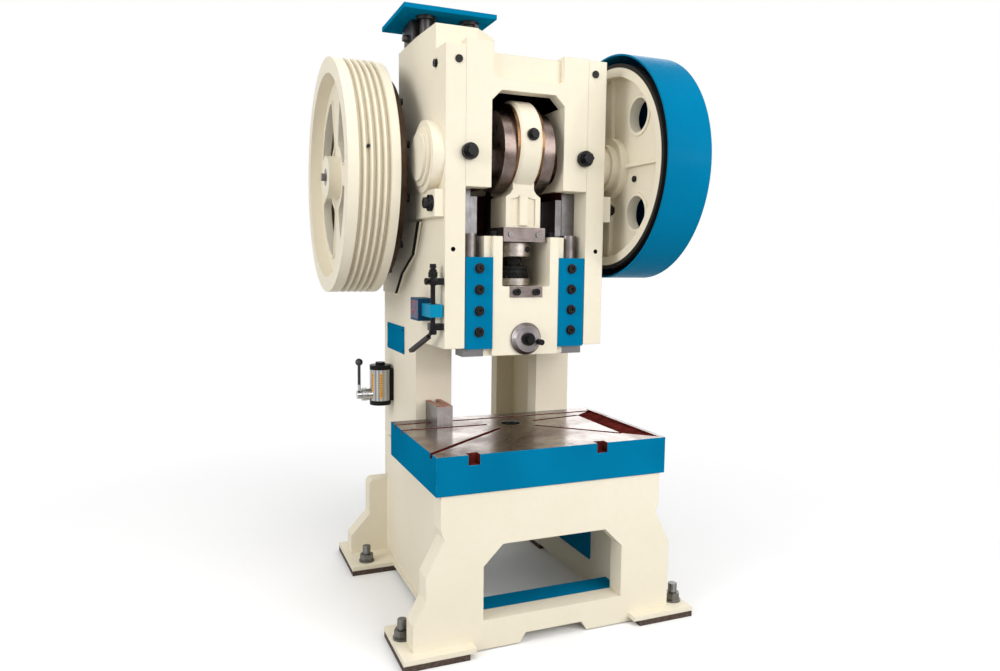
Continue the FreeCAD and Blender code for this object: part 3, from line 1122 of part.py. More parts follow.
def frameBolts():
    big = [collarBolt("bridge_bolt%d" % n, (x, stripFace, z), "-Y", s.bigCollar, s.bigHead, s.bigStand,
                      s.bridgeShank, s.bridgeDeep) for n, (x, z) in enumerate(bridgeSpots)]
    for side, axis, name in ((-1, "-X", "left"), (1, "X", "right")):
        face = (s.frameHalf + s.sidePadThick) * side
        big.append(collarBolt("side_bolt_" + name, (face, *sideBoltSpot), axis, s.bigCollar,
                              s.bigHead, s.sideStand, s.bigShank, s.sidePadThick))
    group("housing_bolts", big)
    small = [screw("strip_screw%d" % n, (x, stripFace, z), "-Y", s.stripScrewRadius * 1.25,
                   s.stripScrewRadius * 0.4, s.stripScrewRadius, s.stripScrewDeep)
             for n, (x, z) in enumerate(stripSpots)]
    small.append(screw("side_screw", (sideScrewFace, *sideScrewSpot), "-X", s.stripScrewRadius * 1.25,
                       s.stripScrewRadius, s.stripScrewRadius, s.smallDeep))
    group("strip_screws", small)


def motorMount():
    p = Piece("motor_plate")
    top = motorHeight + s.motorThick
    p.pad("Z", motorHeight, top, Rect(-s.motorLeft, -s.motorRight, s.motorFront,
                                        s.motorFront + s.motorDepth))
    slotHalf = s.motorSlot / 2
    middle = s.motorFront + s.motorDepth / 2
    spots = [(x, middle + s.motorSlotPlace * k) for k in (-1, 1)
             for x in (-s.motorLeft + s.motorSlotInset, -s.motorRight - s.motorSlotInset)]
    reach = s.motorSlotLength / 2 - slotHalf
    p.pocket("Z", motorHeight, top, *[Rect(x - reach, x + reach, y - slotHalf, y + slotHalf)
                                        for x, y in spots])
    p.pocket("Z", motorHeight, top, *[Disc(x + reach * k, y, slotHalf) for x, y in spots for k in (-1, 1)])
    p.pocket("Z", motorHeight, top, *[Disc(x, y, s.postStud + s.runningFit) for x, y in postSpots])
    p.pocket("Z", top - s.nutSink, top, *[Disc(x, y, s.postThick + s.guideGap) for x, y in postSpots])
    p.done()

    # each post ends in a stud, and a round nut let into the plate holds it
    posts, nuts = [], []
    for number, (x, y) in enumerate(postSpots):
        stem = rod("motor_stem%d" % number, (x, y, pedestalTop), "Z", s.postThick, s.postHigh)
        flange = rod("motor_flange%d" % number, (x, y, motorHeight - s.flangeHigh), "Z", s.postFlange,
                     s.flangeHigh)
        stud = rod("motor_stud%d" % number, (x, y, motorHeight), "Z", s.postStud,
                   s.motorThick - s.guideGap)
        posts.append(fuse("motor_post%d" % number, [stem, flange, stud]))
        seatLevel = top - s.nutSink
        disc = rod("motor_nut_disc%d" % number, (x, y, seatLevel), "Z", s.postThick, s.nutSink - s.guideGap)
        thread = rod("motor_nut_thread%d" % number, (x, y, seatLevel), "Z", s.postStud + s.runningFit,
                     s.nutSink)
        nuts.append(cut("motor_nut%d" % number, disc, thread))
    group("motor_posts", posts)
    group("motor_nuts", nuts)
    left = -s.frameHalf
    start = s.motorFront + s.tiltFront
    tilt = block("tilt_block", (left, start, pedestalTop),
                 (left + s.tiltWide, start + s.tiltDeep, motorHeight))
    place = (left, start + s.tiltDeep / 2, pedestalTop + s.tiltRise)
    hole = rod("tilt_hole", place, "X", s.smallShank, s.smallDeep)
    bolt = collarBolt("tilt_pin", place, "-X", s.mediumHead * 1.2, s.mediumHead, s.mediumHead * 1.6,
                      s.smallShank, s.smallDeep)
    group("motor_tilt_block", [cut("tilt_drilled", tilt, hole), bolt])


def sideFittings():
    wall = -s.frameHalf
    p = Piece("blank_plate")
    p.pad("X", wall - s.platePanel, wall, Rect(s.plateStart, s.plateStart + s.plateLength,
                                               s.plateLow, s.plateHigh))
    p.done()
    rivets = []
    for number, (y, z) in enumerate(rivetSpots):
        dome = doc.addObject("Part::Sphere", "rivet_dome%d" % number)
        bind(dome, "Radius", s.rivetRadius)
        seat(dome, (wall - s.platePanel, y, z), "-X")
        dome.Angle1 = 0
        rivets.append(dome)
    group("plate_rivets", rivets)

    # hand pump for the oil on the left column
    middle = wall - s.pumpGap - s.pumpRadius
    barrelLow, barrelHigh = s.pumpLow + s.pumpCap, s.pumpHigh - s.pumpCap

    def tank(name):
        return rod(name, (middle, s.pumpPlace, barrelLow), "Z", s.pumpRadius, barrelHigh - barrelLow)

    halfWidth = s.pumpRadius * 0.7
    bracket = block("pump_bracket_block", (middle, s.pumpPlace - halfWidth, barrelLow),
                    (wall, s.pumpPlace + halfWidth, barrelHigh))
    finished("pump_bracket", cut("pump_bracket_finished", bracket, tank("pump_space")))
    finished("pump_barrel", tank("pump_tube"))
    low = rod("pump_foot", (middle, s.pumpPlace, s.pumpLow), "Z", s.pumpRadius, s.pumpCap)
    high = rod("pump_lid", (middle, s.pumpPlace, barrelHigh), "Z", s.pumpRadius, s.pumpCap)
    filler = rod("pump_filler", (middle, s.pumpPlace, s.pumpHigh), "Z", s.pumpRadius * 0.45, s.pumpCap * 0.6)
    group("pump_caps", [low, fuse("pump_top", [high, filler])])
    level = barrelLow + s.valveRadius
    body = rod("valve_body", (middle, s.pumpPlace, level), "-X", s.valveRadius, s.pumpRadius + s.valveLength)
    body = cut("valve_saddle", body, tank("valve_space"))
    leverStart = middle - s.pumpRadius - s.valveLength
    pivot = rod("valve_bore", (leverStart, s.pumpPlace, level), "X", s.leverRadius + s.runningFit,
                s.valveLength / 2)
    finished("pump_valve", cut("pump_valve_finished", body, pivot))
    stemPlace = leverStart - s.guideGap - s.leverRadius * 1.5
    boss = rod("lever_boss", (leverStart - s.guideGap, s.pumpPlace, level), "-X", s.valveRadius * 0.7,
               s.leverRadius * 3)
    axle = rod("lever_axle", (leverStart - s.guideGap, s.pumpPlace, level), "X", s.leverRadius,
               s.valveLength / 2)
    stem = rod("lever_stem", (stemPlace, s.pumpPlace, level), "Z", s.leverRadius, s.leverLength)
    knob = doc.addObject("Part::Sphere", "lever_knob")
    bind(knob, "Radius", s.ballKnob)
    seat(knob, (stemPlace, s.pumpPlace, level + s.leverLength))
    finished("pump_lever", fuse("pump_lever_finished", [boss, axle, stem, knob]))

    # control spindle in two brackets beside the head, with its hand lever and switch box
    out = wall - s.spindleOut
    place = -s.spindlePlace
    nearFace = -faceAt(s.bracketHalf - s.spindlePlace)
    stem = rod("spindle_stem", (out, place, s.spindleLow), "Z", s.spindleRadius, s.spindleHigh - s.spindleLow)
    head = rod("spindle_head", (out, place, s.spindleHigh), "Z", s.spindleRadius * 1.3, s.spindleRadius * 1.5)
    elbow = rod("spindle_elbow", (out, place, s.lowBracket), "-Z", s.spindleRadius * 1.6,
                s.lowBracket - s.spindleLow)
    arm = rod("spindle_arm", (out, place, s.spindleLow + s.spindleRadius), "Z", s.spindleRadius * 0.7,
              s.armLength)
    lean = Vector(-sizes["armOut"], sizes["armBack"], -sizes["armDown"])
    arm.Placement = Placement(arm.Placement.Base, Rotation(Vector(0, 0, 1), lean))
    finished("control_spindle", fuse("spindle_finished", [stem, head, elbow, arm]))
    brackets = []
    for number, level in enumerate((s.lowBracket, s.highBracket)):
        body = block("spindle_block%d" % number, (out - s.bracketHalf, place - s.bracketHalf, level),
                     (nearFace, place + s.bracketHalf, level + s.bracketHigh))
        hole = rod("spindle_hole%d" % number, (out, place, level), "Z", s.spindleRadius + s.guideGap,
                   s.bracketHigh)
        brackets.append(cut("spindle_bracket%d" % number, body, hole))
    group("spindle_brackets", brackets)
    case = block("switch_case", (wall - s.boxOut, -s.boxStart, s.boxLow),
                 (-faceAt(s.boxDepth - s.boxStart), s.boxDepth - s.boxStart, s.boxHigh))
    nose = block("switch_nose", (out - s.bracketHalf, place - s.bracketHalf, s.noseLow),
                 (-faceAt(-s.boxStart), -s.boxStart, s.noseHigh))
    hole = rod("switch_hole", (out, place, s.noseLow), "Z", s.spindleRadius + s.guideGap,
               s.noseHigh - s.noseLow)
    finished("switch_box", cut("switch_finished", fuse("switch_body", [case, nose]), hole))


def looseBlock():
    # grooved steel block left standing on the bolster plate
    left, right = -s.blockPlace - s.blockWidth, -s.blockPlace
    back = s.columnFront - s.blockGap
    body = block("setting_block_body", (left, back - s.blockLength, 0), (right, back, s.blockHeight))
    groove = block("setting_block_groove",
                   (left + s.blockWidth * 0.3, back - s.blockLength * 0.45, s.blockHeight * 0.8),
                   (right - s.blockWidth * 0.3, back, s.blockHeight))
    finished("setting_block", cut("setting_block_finished", body, groove))


for build in (frameBase, frameCasting, bolsterPlate, floorPads, anchors, baseSheets, crankBridge, bearings,
              crankShaft, gearWheel, driveShaft, flywheel, guards, connectingRod, ramPieces,
              ramGuides, frameBolts, motorMount, sideFittings, looseBlock):
    build()
doc.recompute()

faults = [item.Name for item in doc.Objects if "Invalid" in item.State or "Error" in item.State]
unsound = [item.Label for item in parts if item.Shape.isNull() or not item.Shape.isValid()]
if faults or unsound:
    raise RuntimeError("failed features: %s, unsound shapes: %s" % (faults, unsound))
os.makedirs("parts", exist_ok=True)
for item in parts:
    item.Shape.exportStep("parts/%s.step" % item.Label)
print(len(parts), "pieces written")
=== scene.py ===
import json
import math

import bpy
from mathutils import Matrix, Vector


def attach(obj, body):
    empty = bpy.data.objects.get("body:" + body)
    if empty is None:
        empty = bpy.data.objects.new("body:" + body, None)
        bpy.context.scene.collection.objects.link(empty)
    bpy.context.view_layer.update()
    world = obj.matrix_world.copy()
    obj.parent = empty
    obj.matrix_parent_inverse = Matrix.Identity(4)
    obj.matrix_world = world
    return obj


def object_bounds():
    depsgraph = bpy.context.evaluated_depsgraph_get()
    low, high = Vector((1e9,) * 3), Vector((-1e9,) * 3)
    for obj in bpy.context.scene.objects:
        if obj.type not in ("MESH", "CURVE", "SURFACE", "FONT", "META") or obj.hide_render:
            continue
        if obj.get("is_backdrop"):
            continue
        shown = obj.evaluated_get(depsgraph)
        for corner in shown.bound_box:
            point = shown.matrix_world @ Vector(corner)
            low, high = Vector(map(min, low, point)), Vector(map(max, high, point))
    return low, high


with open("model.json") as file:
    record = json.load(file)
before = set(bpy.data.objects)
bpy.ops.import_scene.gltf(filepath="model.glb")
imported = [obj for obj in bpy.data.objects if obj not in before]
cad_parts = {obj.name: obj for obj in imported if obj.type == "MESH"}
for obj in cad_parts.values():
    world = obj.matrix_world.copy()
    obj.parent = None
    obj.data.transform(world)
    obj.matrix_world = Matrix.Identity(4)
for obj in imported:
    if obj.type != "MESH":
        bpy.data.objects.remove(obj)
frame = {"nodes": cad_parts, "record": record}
cadLow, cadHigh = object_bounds()
cadBox = [list(cadLow), list(cadHigh)]
nodes = frame["nodes"]
slotOf = {row["node"]: row["material_slot"] for row in frame["record"]["subparts"]}
bpy.ops.object.select_all(action="DESELECT")
print("press: frame loaded,", len(nodes), "nodes")

# camera at the photograph's angle
view = {
    "place": (-1.065, -2.474, 0.582),
    "turn": 22.46,       # from straight back towards the right
    "tilt": -5.61,
    "roll": 0.68,
    "lens": 27.36,
    "sensor": 36,
    "shift": (-0.0008, -0.0006),
    "farthest": 200,
}


def setCamera(view):
    turn, tilt, roll = (math.radians(view[key]) for key in ("turn", "tilt", "roll"))
    side = Vector((math.cos(turn), -math.sin(turn), 0))
    level = Vector((math.sin(turn), math.cos(turn), 0))
    ahead = level * math.cos(tilt) + Vector((0, 0, math.sin(tilt)))
    upward = -level * math.sin(tilt) + Vector((0, 0, math.cos(tilt)))
    right = side * math.cos(roll) + upward * math.sin(roll)
    above = upward * math.cos(roll) - side * math.sin(roll)
    data = bpy.data.cameras.new("pressCamera")
    data.sensor_fit = "HORIZONTAL"
    data.sensor_width = view["sensor"]
    data.lens = view["lens"]
    data.shift_x, data.shift_y = view["shift"]
    data.clip_end = view["farthest"]
    camera = bpy.data.objects.new("pressCamera", data)
    bpy.context.collection.objects.link(camera)
    place = Matrix((right, above, -ahead)).transposed().to_4x4()
    place.translation = Vector(view["place"])
    camera.matrix_world = place
    bpy.context.scene.camera = camera


setCamera(view)
bpy.context.scene.view_settings.view_transform = "Standard"


# small helpers for the light and the finishes: what they take is a number, a colour or a node's output
def startFinish(name):
    finish = bpy.data.materials.new(name)
    finish.use_nodes = True
    tree = finish.node_tree
    place = tree.nodes.new("ShaderNodeTexCoord").outputs["Object"]
    return finish, tree, tree.nodes["Principled BSDF"], place


def feed(tree, socket, value):
    if hasattr(value, "is_linked"):
        tree.links.new(value, socket)
    elif isinstance(value, (tuple, list)) and len(value) == 3 and socket.type == "RGBA":
        socket.default_value = (*value, 1)
    else:
        socket.default_value = value


def stretched(tree, place, scale, move=(0, 0, 0)):
    node = tree.nodes.new("ShaderNodeMapping")
    feed(tree, node.inputs["Vector"], place)
    node.inputs["Location"].default_value = move
    node.inputs["Scale"].default_value = scale
    return node.outputs[0]


def centredOn(tree, place, centre):
    return stretched(tree, place, (1, 1, 1), move=tuple(-c for c in centre))


def grain(tree, place, scale, detail=3.0, rough=0.55, warp=0.0):
    node = tree.nodes.new("ShaderNodeTexNoise")
    feed(tree, node.inputs["Vector"], place)
    node.inputs["Scale"].default_value = scale
    node.inputs["Detail"].default_value = detail
    node.inputs["Roughness"].default_value = rough
    node.inputs["Distortion"].default_value = warp
    return node.outputs[0]


def span(tree, value, low, high, toLow=0.0, toHigh=1.0):
    node = tree.nodes.new("ShaderNodeMapRange")
    feed(tree, node.inputs["Value"], value)
    node.inputs["From Min"].default_value = low
    node.inputs["From Max"].default_value = high
    node.inputs["To Min"].default_value = toLow
    node.inputs["To Max"].default_value = toHigh
    return node.outputs[0]


def blendOf(tree, share, first, second):
    # the second colour over the first, by its share
    node = tree.nodes.new("ShaderNodeMix")
    node.data_type = "RGBA"
    feed(tree, node.inputs[0], share)
    feed(tree, node.inputs[6], first)
    feed(tree, node.inputs[7], second)
    return node.outputs[2]


def mathOf(tree, way, first, second=0.0):
    node = tree.nodes.new("ShaderNodeMath")
    node.operation = way
    feed(tree, node.inputs[0], first)
    feed(tree, node.inputs[1], second)
    return node.outputs[0]


def timesOf(tree, first, second):
    return mathOf(tree, "MULTIPLY", first, second)


def lengthOf(tree, first, second):
    squares = mathOf(tree, "ADD", timesOf(tree, first, first), timesOf(tree, second, second))
    return mathOf(tree, "SQRT", squares)


def parts(tree, vector):
    node = tree.nodes.new("ShaderNodeSeparateXYZ")
    feed(tree, node.inputs[0], vector)
    return node.outputs


def bumpOf(tree, height, strength, distance, below):
    node = tree.nodes.new("ShaderNodeBump")
    node.inputs["Strength"].default_value = strength
    node.inputs["Distance"].default_value = distance
    feed(tree, node.inputs["Height"], height)
    feed(tree, node.inputs["Normal"], below)
    return node.outputs[0]


def roundedEdge(tree, radius):
    node = tree.nodes.new("ShaderNodeBevel")
    node.samples = 4
    node.inputs["Radius"].default_value = radius
    return node.outputs[0]


def edgeShare(tree, rounded, start=0.02, full=0.25):
    # 0 on a face and 1 on an edge, from how far the rounded normal leans away from the flat one
    flat = tree.nodes.new("ShaderNodeNewGeometry")
    dot = tree.nodes.new("ShaderNodeVectorMath")
    dot.operation = "DOT_PRODUCT"
    tree.links.new(rounded, dot.inputs[0])
    tree.links.new(flat.outputs["Normal"], dot.inputs[1])
    away = mathOf(tree, "SUBTRACT", 1.0, dot.outputs["Value"])
    return span(tree, away, start, full)


def inside(tree, place, low, high, soft):
    # 1 between two corners and 0 outside them; None leaves a side open
    axes = parts(tree, place)
    share = None
    for i in range(3):
        for bound, way in ((low[i], 1), (high[i], -1)):
            if bound is not None:
                step = span(tree, axes[i], bound - way * soft, bound + way * soft)
                share = step if share is None else timesOf(tree, share, step)
    return share


def paleRays(tree):
    # the rays that meet white surroundings: to the eye, through glass and off a glossy face
    ray = tree.nodes.new("ShaderNodeLightPath")
    seen = mathOf(tree, "MAXIMUM", ray.outputs["Is Camera Ray"], ray.outputs["Is Transmission Ray"])
    return mathOf(tree, "MAXIMUM", seen, ray.outputs["Is Glossy Ray"])


# plain soft studio light
studio = {
    "sky": 0.46,          # on the press
    "surroundings": 1.0,  # to the eye and in reflections
    "lamps": [
        # name, place, aim, size, watts
        ("frontSoft", (1.6, -4.6, 2.6), (0.0, 0.0, 0.5), 4.0, 150),
        ("glintSoft", (3.0, -3.6, 1.45), (0.2, -0.1, 0.75), 0.4, 26),
        ("leftSoft", (-5.0, -1.6, 2.0), (-0.3, 0.2, 0.5), 3.2, 122),
        ("topSoft", (-0.4, -0.6, 5.0), (0.0, 0.0, 0.8), 5.0, 92),
        ("backSoft", (2.5, 4.5, 3.0), (0.0, 0.3, 0.6), 5.0, 84),
    ],
}


def setLight(studio):
    world = bpy.data.worlds.new("studioWorld")
    bpy.context.scene.world = world
    world.use_nodes = True
    tree = world.node_tree
    tree.nodes.clear()
    mix = tree.nodes.new("ShaderNodeMixShader")
    tree.links.new(paleRays(tree), mix.inputs[0])
    for strength, socket in ((studio["sky"], mix.inputs[1]), (studio["surroundings"], mix.inputs[2])):
        glow = tree.nodes.new("ShaderNodeBackground")
        glow.inputs["Color"].default_value = (1, 1, 1, 1)
        glow.inputs["Strength"].default_value = strength
        tree.links.new(glow.outputs[0], socket)
    out = tree.nodes.new("ShaderNodeOutputWorld")
    tree.links.new(mix.outputs[0], out.inputs[0])
    for name, place, aim, size, watts in studio["lamps"]:
        data = bpy.data.lights.new(name, "AREA")
        data.shape = "DISK"
        data.size = size
        data.energy = watts
        lamp = bpy.data.objects.new(name, data)
        bpy.context.collection.objects.link(lamp)
        lamp.location = place
        lamp.rotation_euler = (Vector(aim) - Vector(place)).to_track_quat("-Z", "Y").to_euler()


setLight(studio)

# floor that turns into the white backdrop away from the press
floor = {"level": cadBox[0][2], "half": 14.0, "middle": (-0.1, 0.2), "near": 0.9, "far": 2.4,
         "colour": (0.95, 0.95, 0.95), "speck": 0.985,
         "bounce": (0.55, 0.55, 0.55)}  # what it throws back on the press


def floorFinish(floor):
    finish, tree, shader, place = startFinish("studioFloor")
    tree.nodes.remove(shader)
    matt = tree.nodes.new("ShaderNodeBsdfDiffuse")
    speck = grain(tree, place, 60, 2)
    pale = blendOf(tree, speck, floor["colour"], tuple(c * floor["speck"] for c in floor["colour"]))
    white = tree.nodes.new("ShaderNodeEmission")
    white.inputs["Color"].default_value = (1, 1, 1, 1)
    flat = stretched(tree, place, (1, 1, 0), move=(-floor["middle"][0], -floor["middle"][1], 0))
    far = tree.nodes.new("ShaderNodeVectorMath")
    far.operation = "LENGTH"
    tree.links.new(flat, far.inputs[0])
    fade = span(tree, far.outputs["Value"], floor["near"], floor["far"])
    seen = paleRays(tree)
    feed(tree, matt.inputs["Color"], blendOf(tree, seen, floor["bounce"], pale))
    mix = tree.nodes.new("ShaderNodeMixShader")
    tree.links.new(timesOf(tree, fade, seen), mix.inputs[0])
    tree.links.new(matt.outputs[0], mix.inputs[1])
    tree.links.new(white.outputs[0], mix.inputs[2])
    tree.links.new(mix.outputs[0], tree.nodes["Material Output"].inputs[0])
    return finish


bpy.ops.mesh.primitive_plane_add(size=2 * floor["half"], location=(0, 0, floor["level"]))
studioFloor = bpy.context.object
studioFloor.name = "studio_floor"
bpy.ops.object.transform_apply(location=True, rotation=True, scale=True)
studioFloor.data.materials.append(floorFinish(floor))
studioFloor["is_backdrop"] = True
print("press: camera, light and floor")

# paint over a cast or a plate: fine stipple, slow waves of the casting, edges a little rubbed
paintGrain = {"tone": 2.6, "cloud": 38, "chips": 120, "sheen": 55, "waves": 16}


def enamel(name, look):
    finish, tree, shader, place = startFinish(name)
    rounded = roundedEdge(tree, look["edge"])
    rub = edgeShare(tree, rounded)
    slow = grain(tree, place, paintGrain["tone"], 2)
    patch = grain(tree, place, paintGrain["cloud"], 4, 0.6)
    chips = grain(tree, place, paintGrain["chips"], 5, 0.7)
    colour = blendOf(tree, span(tree, slow, 0.35, 0.65), look["colour"], look["other"])
    colour = blendOf(tree, span(tree, patch, 0.45, 0.8, 0, look["cloud"]), colour, look["deep"])
    worn = timesOf(tree, rub, span(tree, chips, 0.5, 0.62, 0.15, look["wear"]))
    colour = blendOf(tree, worn, colour, look["rubbed"])
    if "extra" in look:
        colour = look["extra"](tree, place, colour)
    feed(tree, shader.inputs["Base Color"], colour)
    sheen = grain(tree, place, paintGrain["sheen"], 3)
    rough = span(tree, sheen, 0.3, 0.7, look["rough"] - 0.05, look["rough"] + 0.07)
    feed(tree, shader.inputs["Roughness"], rough)
    shader.inputs["Specular IOR Level"].default_value = look["gloss"]
    wave = bumpOf(tree, grain(tree, place, paintGrain["waves"], 2), look["wave"], 0.004, rounded)
    peel = bumpOf(tree, grain(tree, place, look["peelScale"], 2, 0.5), look["peel"], 0.0006, wave)
    feed(tree, shader.inputs["Normal"], peel)
    return finish


# bare metal: lines of the cut along or round the part, thin stain, bright edges; a look may change the base
metalBase = {"edge": 0.0006, "stain": 22, "wear": 0.6, "bump": 0.25}


def bareMetal(name, look):
    look = {**metalBase, **look}
    finish, tree, shader, place = startFinish(name)
    rounded = roundedEdge(tree, look["edge"])
    rub = edgeShare(tree, rounded)
    if look["cut"] == "round":
        axes = parts(tree, centredOn(tree, place, look["centre"]))
        first, second = [axes[i] for i in range(3) if i != look["axis"]]
        turned = tree.nodes.new("ShaderNodeCombineXYZ")
        tree.links.new(lengthOf(tree, first, second), turned.inputs[0])
        tree.links.new(axes[look["axis"]], turned.inputs[1])
        course = turned.outputs[0]
    else:
        course = stretched(tree, place, look["cut"])
    lines = grain(tree, course, look["lines"], 3, 0.6)
    stain = grain(tree, place, look["stain"], 4, 0.62, 0.4)
    colour = blendOf(tree, span(tree, stain, 0.36, 0.68), look["colour"], look["other"])
    colour = blendOf(tree, span(tree, lines, 0.35, 0.65, 0, 0.45), colour, look["deep"])
    colour = blendOf(tree, timesOf(tree, rub, look["wear"]), colour, look["rubbed"])
    if "extra" in look:
        colour = look["extra"](tree, place, colour)
    feed(tree, shader.inputs["Base Color"], colour)
    shader.inputs["Metallic"].default_value = 1.0
    if "anisotropic" in look:
        shader.inputs["Anisotropic"].default_value = look["anisotropic"]
        tangent = tree.nodes.new("ShaderNodeTangent")
        tangent.direction_type = "RADIAL"
        tangent.axis = "XYZ"[look["axis"]]
        tree.links.new(tangent.outputs[0], shader.inputs["Tangent"])
    spread = mathOf(tree, "ADD", span(tree, stain, 0.3, 0.7, 0, 0.14), span(tree, lines, 0.3, 0.7, 0, 0.08))
    feed(tree, shader.inputs["Roughness"], mathOf(tree, "ADD", spread, look["rough"]))
    feed(tree, shader.inputs["Normal"], bumpOf(tree, lines, look["bump"], 0.0002, rounded))
    return finish


# moulded plastic, rubber, rough iron and blackened screws
skinBase = {"edge": 0.0008, "wear": 0.5, "gloss": 0.10, "bump": 0.2}


def dullSkin(name, look):
    look = {**skinBase, **look}
    finish, tree, shader, place = startFinish(name)
    rounded = roundedEdge(tree, look["edge"])
    rub = edgeShare(tree, rounded)
    speck = grain(tree, place, look["speck"], 4, 0.6)
    colour = blendOf(tree, span(tree, speck, 0.38, 0.66), look["colour"], look["other"])
    colour = blendOf(tree, timesOf(tree, rub, look["wear"]), colour, look["rubbed"])
    feed(tree, shader.inputs["Base Color"], colour)
    shader.inputs["Specular IOR Level"].default_value = look["gloss"]
    rough = span(tree, speck, 0.3, 0.7, look["rough"] - 0.06, look["rough"] + 0.08)
    feed(tree, shader.inputs["Roughness"], rough)
    feed(tree, shader.inputs["Normal"], bumpOf(tree, speck, look["bump"], 0.0004, rounded))
    return finish


# the unpainted hollow behind the ram, red-brown and kept dark as painted shade; the roof of the crank chamber
# and the two tapped holes painted near black as painted shade
hollow = {"low": (-0.1745, -0.060, 0.284), "high": (0.1745, 0.250, 0.822), "soft": 0.0015,
          "roofShadeLow": (-0.225, -0.073, 1.128), "roofShadeHigh": (0.225, 0.250, 1.236),
          "holes": (-0.263, 0.263), "holeLevel": 0.616, "holeRadius": 0.0078, "holeEnd": -0.0900,
          "shadedPrimer": (0.085, 0.028, 0.018), "deep": (0.022, 0.012, 0.010), "dark": (0.010, 0.009, 0.008)}


def castingInside(tree, place, colour):
    # hollow behind the ram: red-brown primer, its darkness partly painted shade of the recess
    share = inside(tree, place, hollow["low"], hollow["high"], hollow["soft"])
    shadedPrimer = span(tree, grain(tree, place, 24, 4, 0.6, 0.5), 0.3, 0.7, 0.55, 1.0)
    colour = blendOf(tree, share, colour, blendOf(tree, shadedPrimer, hollow["deep"], hollow["shadedPrimer"]))
    # painted shade: the roof of the crank chamber painted near black
    dark = inside(tree, place, hollow["roofShadeLow"], hollow["roofShadeHigh"], hollow["soft"])
    # painted shade: the insides of the two tapped holes painted near black
    axes = parts(tree, place)
    front = span(tree, axes[1], hollow["holeEnd"] + 0.0005, hollow["holeEnd"] - 0.0005)
    up = mathOf(tree, "SUBTRACT", axes[2], hollow["holeLevel"])
    for x in hollow["holes"]:
        away = lengthOf(tree, mathOf(tree, "SUBTRACT", axes[0], x), up)
        hole = span(tree, away, hollow["holeRadius"] + 0.0004, hollow["holeRadius"] - 0.0004)
        dark = mathOf(tree, "MAXIMUM", dark, timesOf(tree, hole, front))
    return blendOf(tree, dark, colour, hollow["dark"])


# the two paints of the press
creamLook = {
    "colour": (0.835, 0.770, 0.625), "other": (0.805, 0.738, 0.590), "deep": (0.765, 0.695, 0.545),
    "rubbed": (0.90, 0.85, 0.73), "wear": 0.5, "rough": 0.42, "gloss": 0.035, "cloud": 0.3,
    "wave": 0.03, "peel": 0.55, "peelScale": 230, "edge": 0.0035, "extra": castingInside,
}
blueLook = {
    "colour": (0.001, 0.180, 0.350), "other": (0.001, 0.162, 0.318), "deep": (0.001, 0.135, 0.268),
    "rubbed": (0.02, 0.29, 0.46), "wear": 0.55, "rough": 0.42, "gloss": 0.0, "cloud": 0.2,
    "wave": 0.03, "peel": 0.25, "peelScale": 280, "edge": 0.0016,
}
cream = enamel("creamEnamel", creamLook)
guardBlue = enamel("guardBlue", dict(blueLook, gloss=0.006, rough=0.26, peel=0.5, wear=0.15))
plainCream = enamel("plainCream", {key: creamLook[key] for key in creamLook if key != "extra"})
blue = enamel("blueEnamel", blueLook)

# axes that turned faces are centred on
crankAxis = (0, 0, 0.920)
shaftAxis = (0, 0.428, 0.881)  # near enough for the cut of its faces
wheelAxis = (0, 0.4282, 0.881)

groundSteel = bareMetal("groundSteel", {
    "cut": (1, 1, 0.02), "lines": 900, "colour": (0.20, 0.195, 0.20), "other": (0.155, 0.147, 0.147),
    "deep": (0.10, 0.094, 0.094), "rubbed": (0.55, 0.54, 0.53), "rough": 0.26, "bump": 0.18})
zinc = bareMetal("zincPlate", {
    "cut": (1, 1, 1), "lines": 500, "colour": (0.24, 0.235, 0.225), "other": (0.15, 0.145, 0.135),
    "deep": (0.085, 0.080, 0.072), "rubbed": (0.55, 0.55, 0.53), "rough": 0.26})
crankSteel = bareMetal("crankSteel", {
    "cut": "round", "axis": 0, "centre": crankAxis, "lines": 700,
    "colour": (0.175, 0.130, 0.112), "other": (0.255, 0.210, 0.195), "deep": (0.085, 0.055, 0.040),
    "rubbed": (0.50, 0.44, 0.40), "rough": 0.20, "bump": 0.3})
clutchSteel = bareMetal("clutchSteel", {
    "cut": "round", "axis": 0, "centre": shaftAxis, "lines": 600,
    "colour": (0.050, 0.030, 0.016), "other": (0.075, 0.050, 0.036), "deep": (0.018, 0.011, 0.008),
    "rubbed": (0.22, 0.18, 0.15), "rough": 0.30, "bump": 0.3})
shaftSteel = bareMetal("shaftSteel", {
    "cut": "round", "axis": 0, "centre": shaftAxis, "lines": 900,
    "colour": (0.26, 0.24, 0.24), "other": (0.17, 0.145, 0.135), "deep": (0.09, 0.075, 0.068),
    "rubbed": (0.5, 0.5, 0.5), "rough": 0.22})
spindleSteel = bareMetal("turnedSteel", {
    "cut": "round", "axis": 2, "centre": (0, 0, 0), "lines": 900,
    "colour": (0.27, 0.245, 0.24), "other": (0.17, 0.15, 0.145), "deep": (0.085, 0.07, 0.066),
    "rubbed": (0.58, 0.57, 0.56), "rough": 0.20})
# lighter copy of the turned steel for the lock nut and seat ring: painted light, making up for the shade of
# their recess
nutSteelLit = bareMetal("nutSteelLit", {
    "cut": "round", "axis": 2, "centre": (0, 0, 0), "lines": 700,
    "colour": (0.52, 0.47, 0.43), "other": (0.34, 0.29, 0.26), "deep": (0.15, 0.12, 0.10),
    "rubbed": (0.85, 0.82, 0.80), "rough": 0.18})
dialSteel = bareMetal("dialSteel", {
    "cut": "round", "axis": 1, "centre": (0, 0, 0.317), "lines": 1100, "anisotropic": 0.75,
    "colour": (0.30, 0.270, 0.275), "other": (0.215, 0.190, 0.190), "deep": (0.10, 0.085, 0.083),
    "rubbed": (0.60, 0.58, 0.57), "rough": 0.22, "bump": 0.35})
bronze = bareMetal("bronze", {
    "cut": "round", "axis": 0, "centre": crankAxis, "lines": 500,
    "colour": (0.215, 0.115, 0.055), "other": (0.145, 0.072, 0.034), "deep": (0.070, 0.032, 0.015),
    "rubbed": (0.60, 0.44, 0.30), "rough": 0.20})
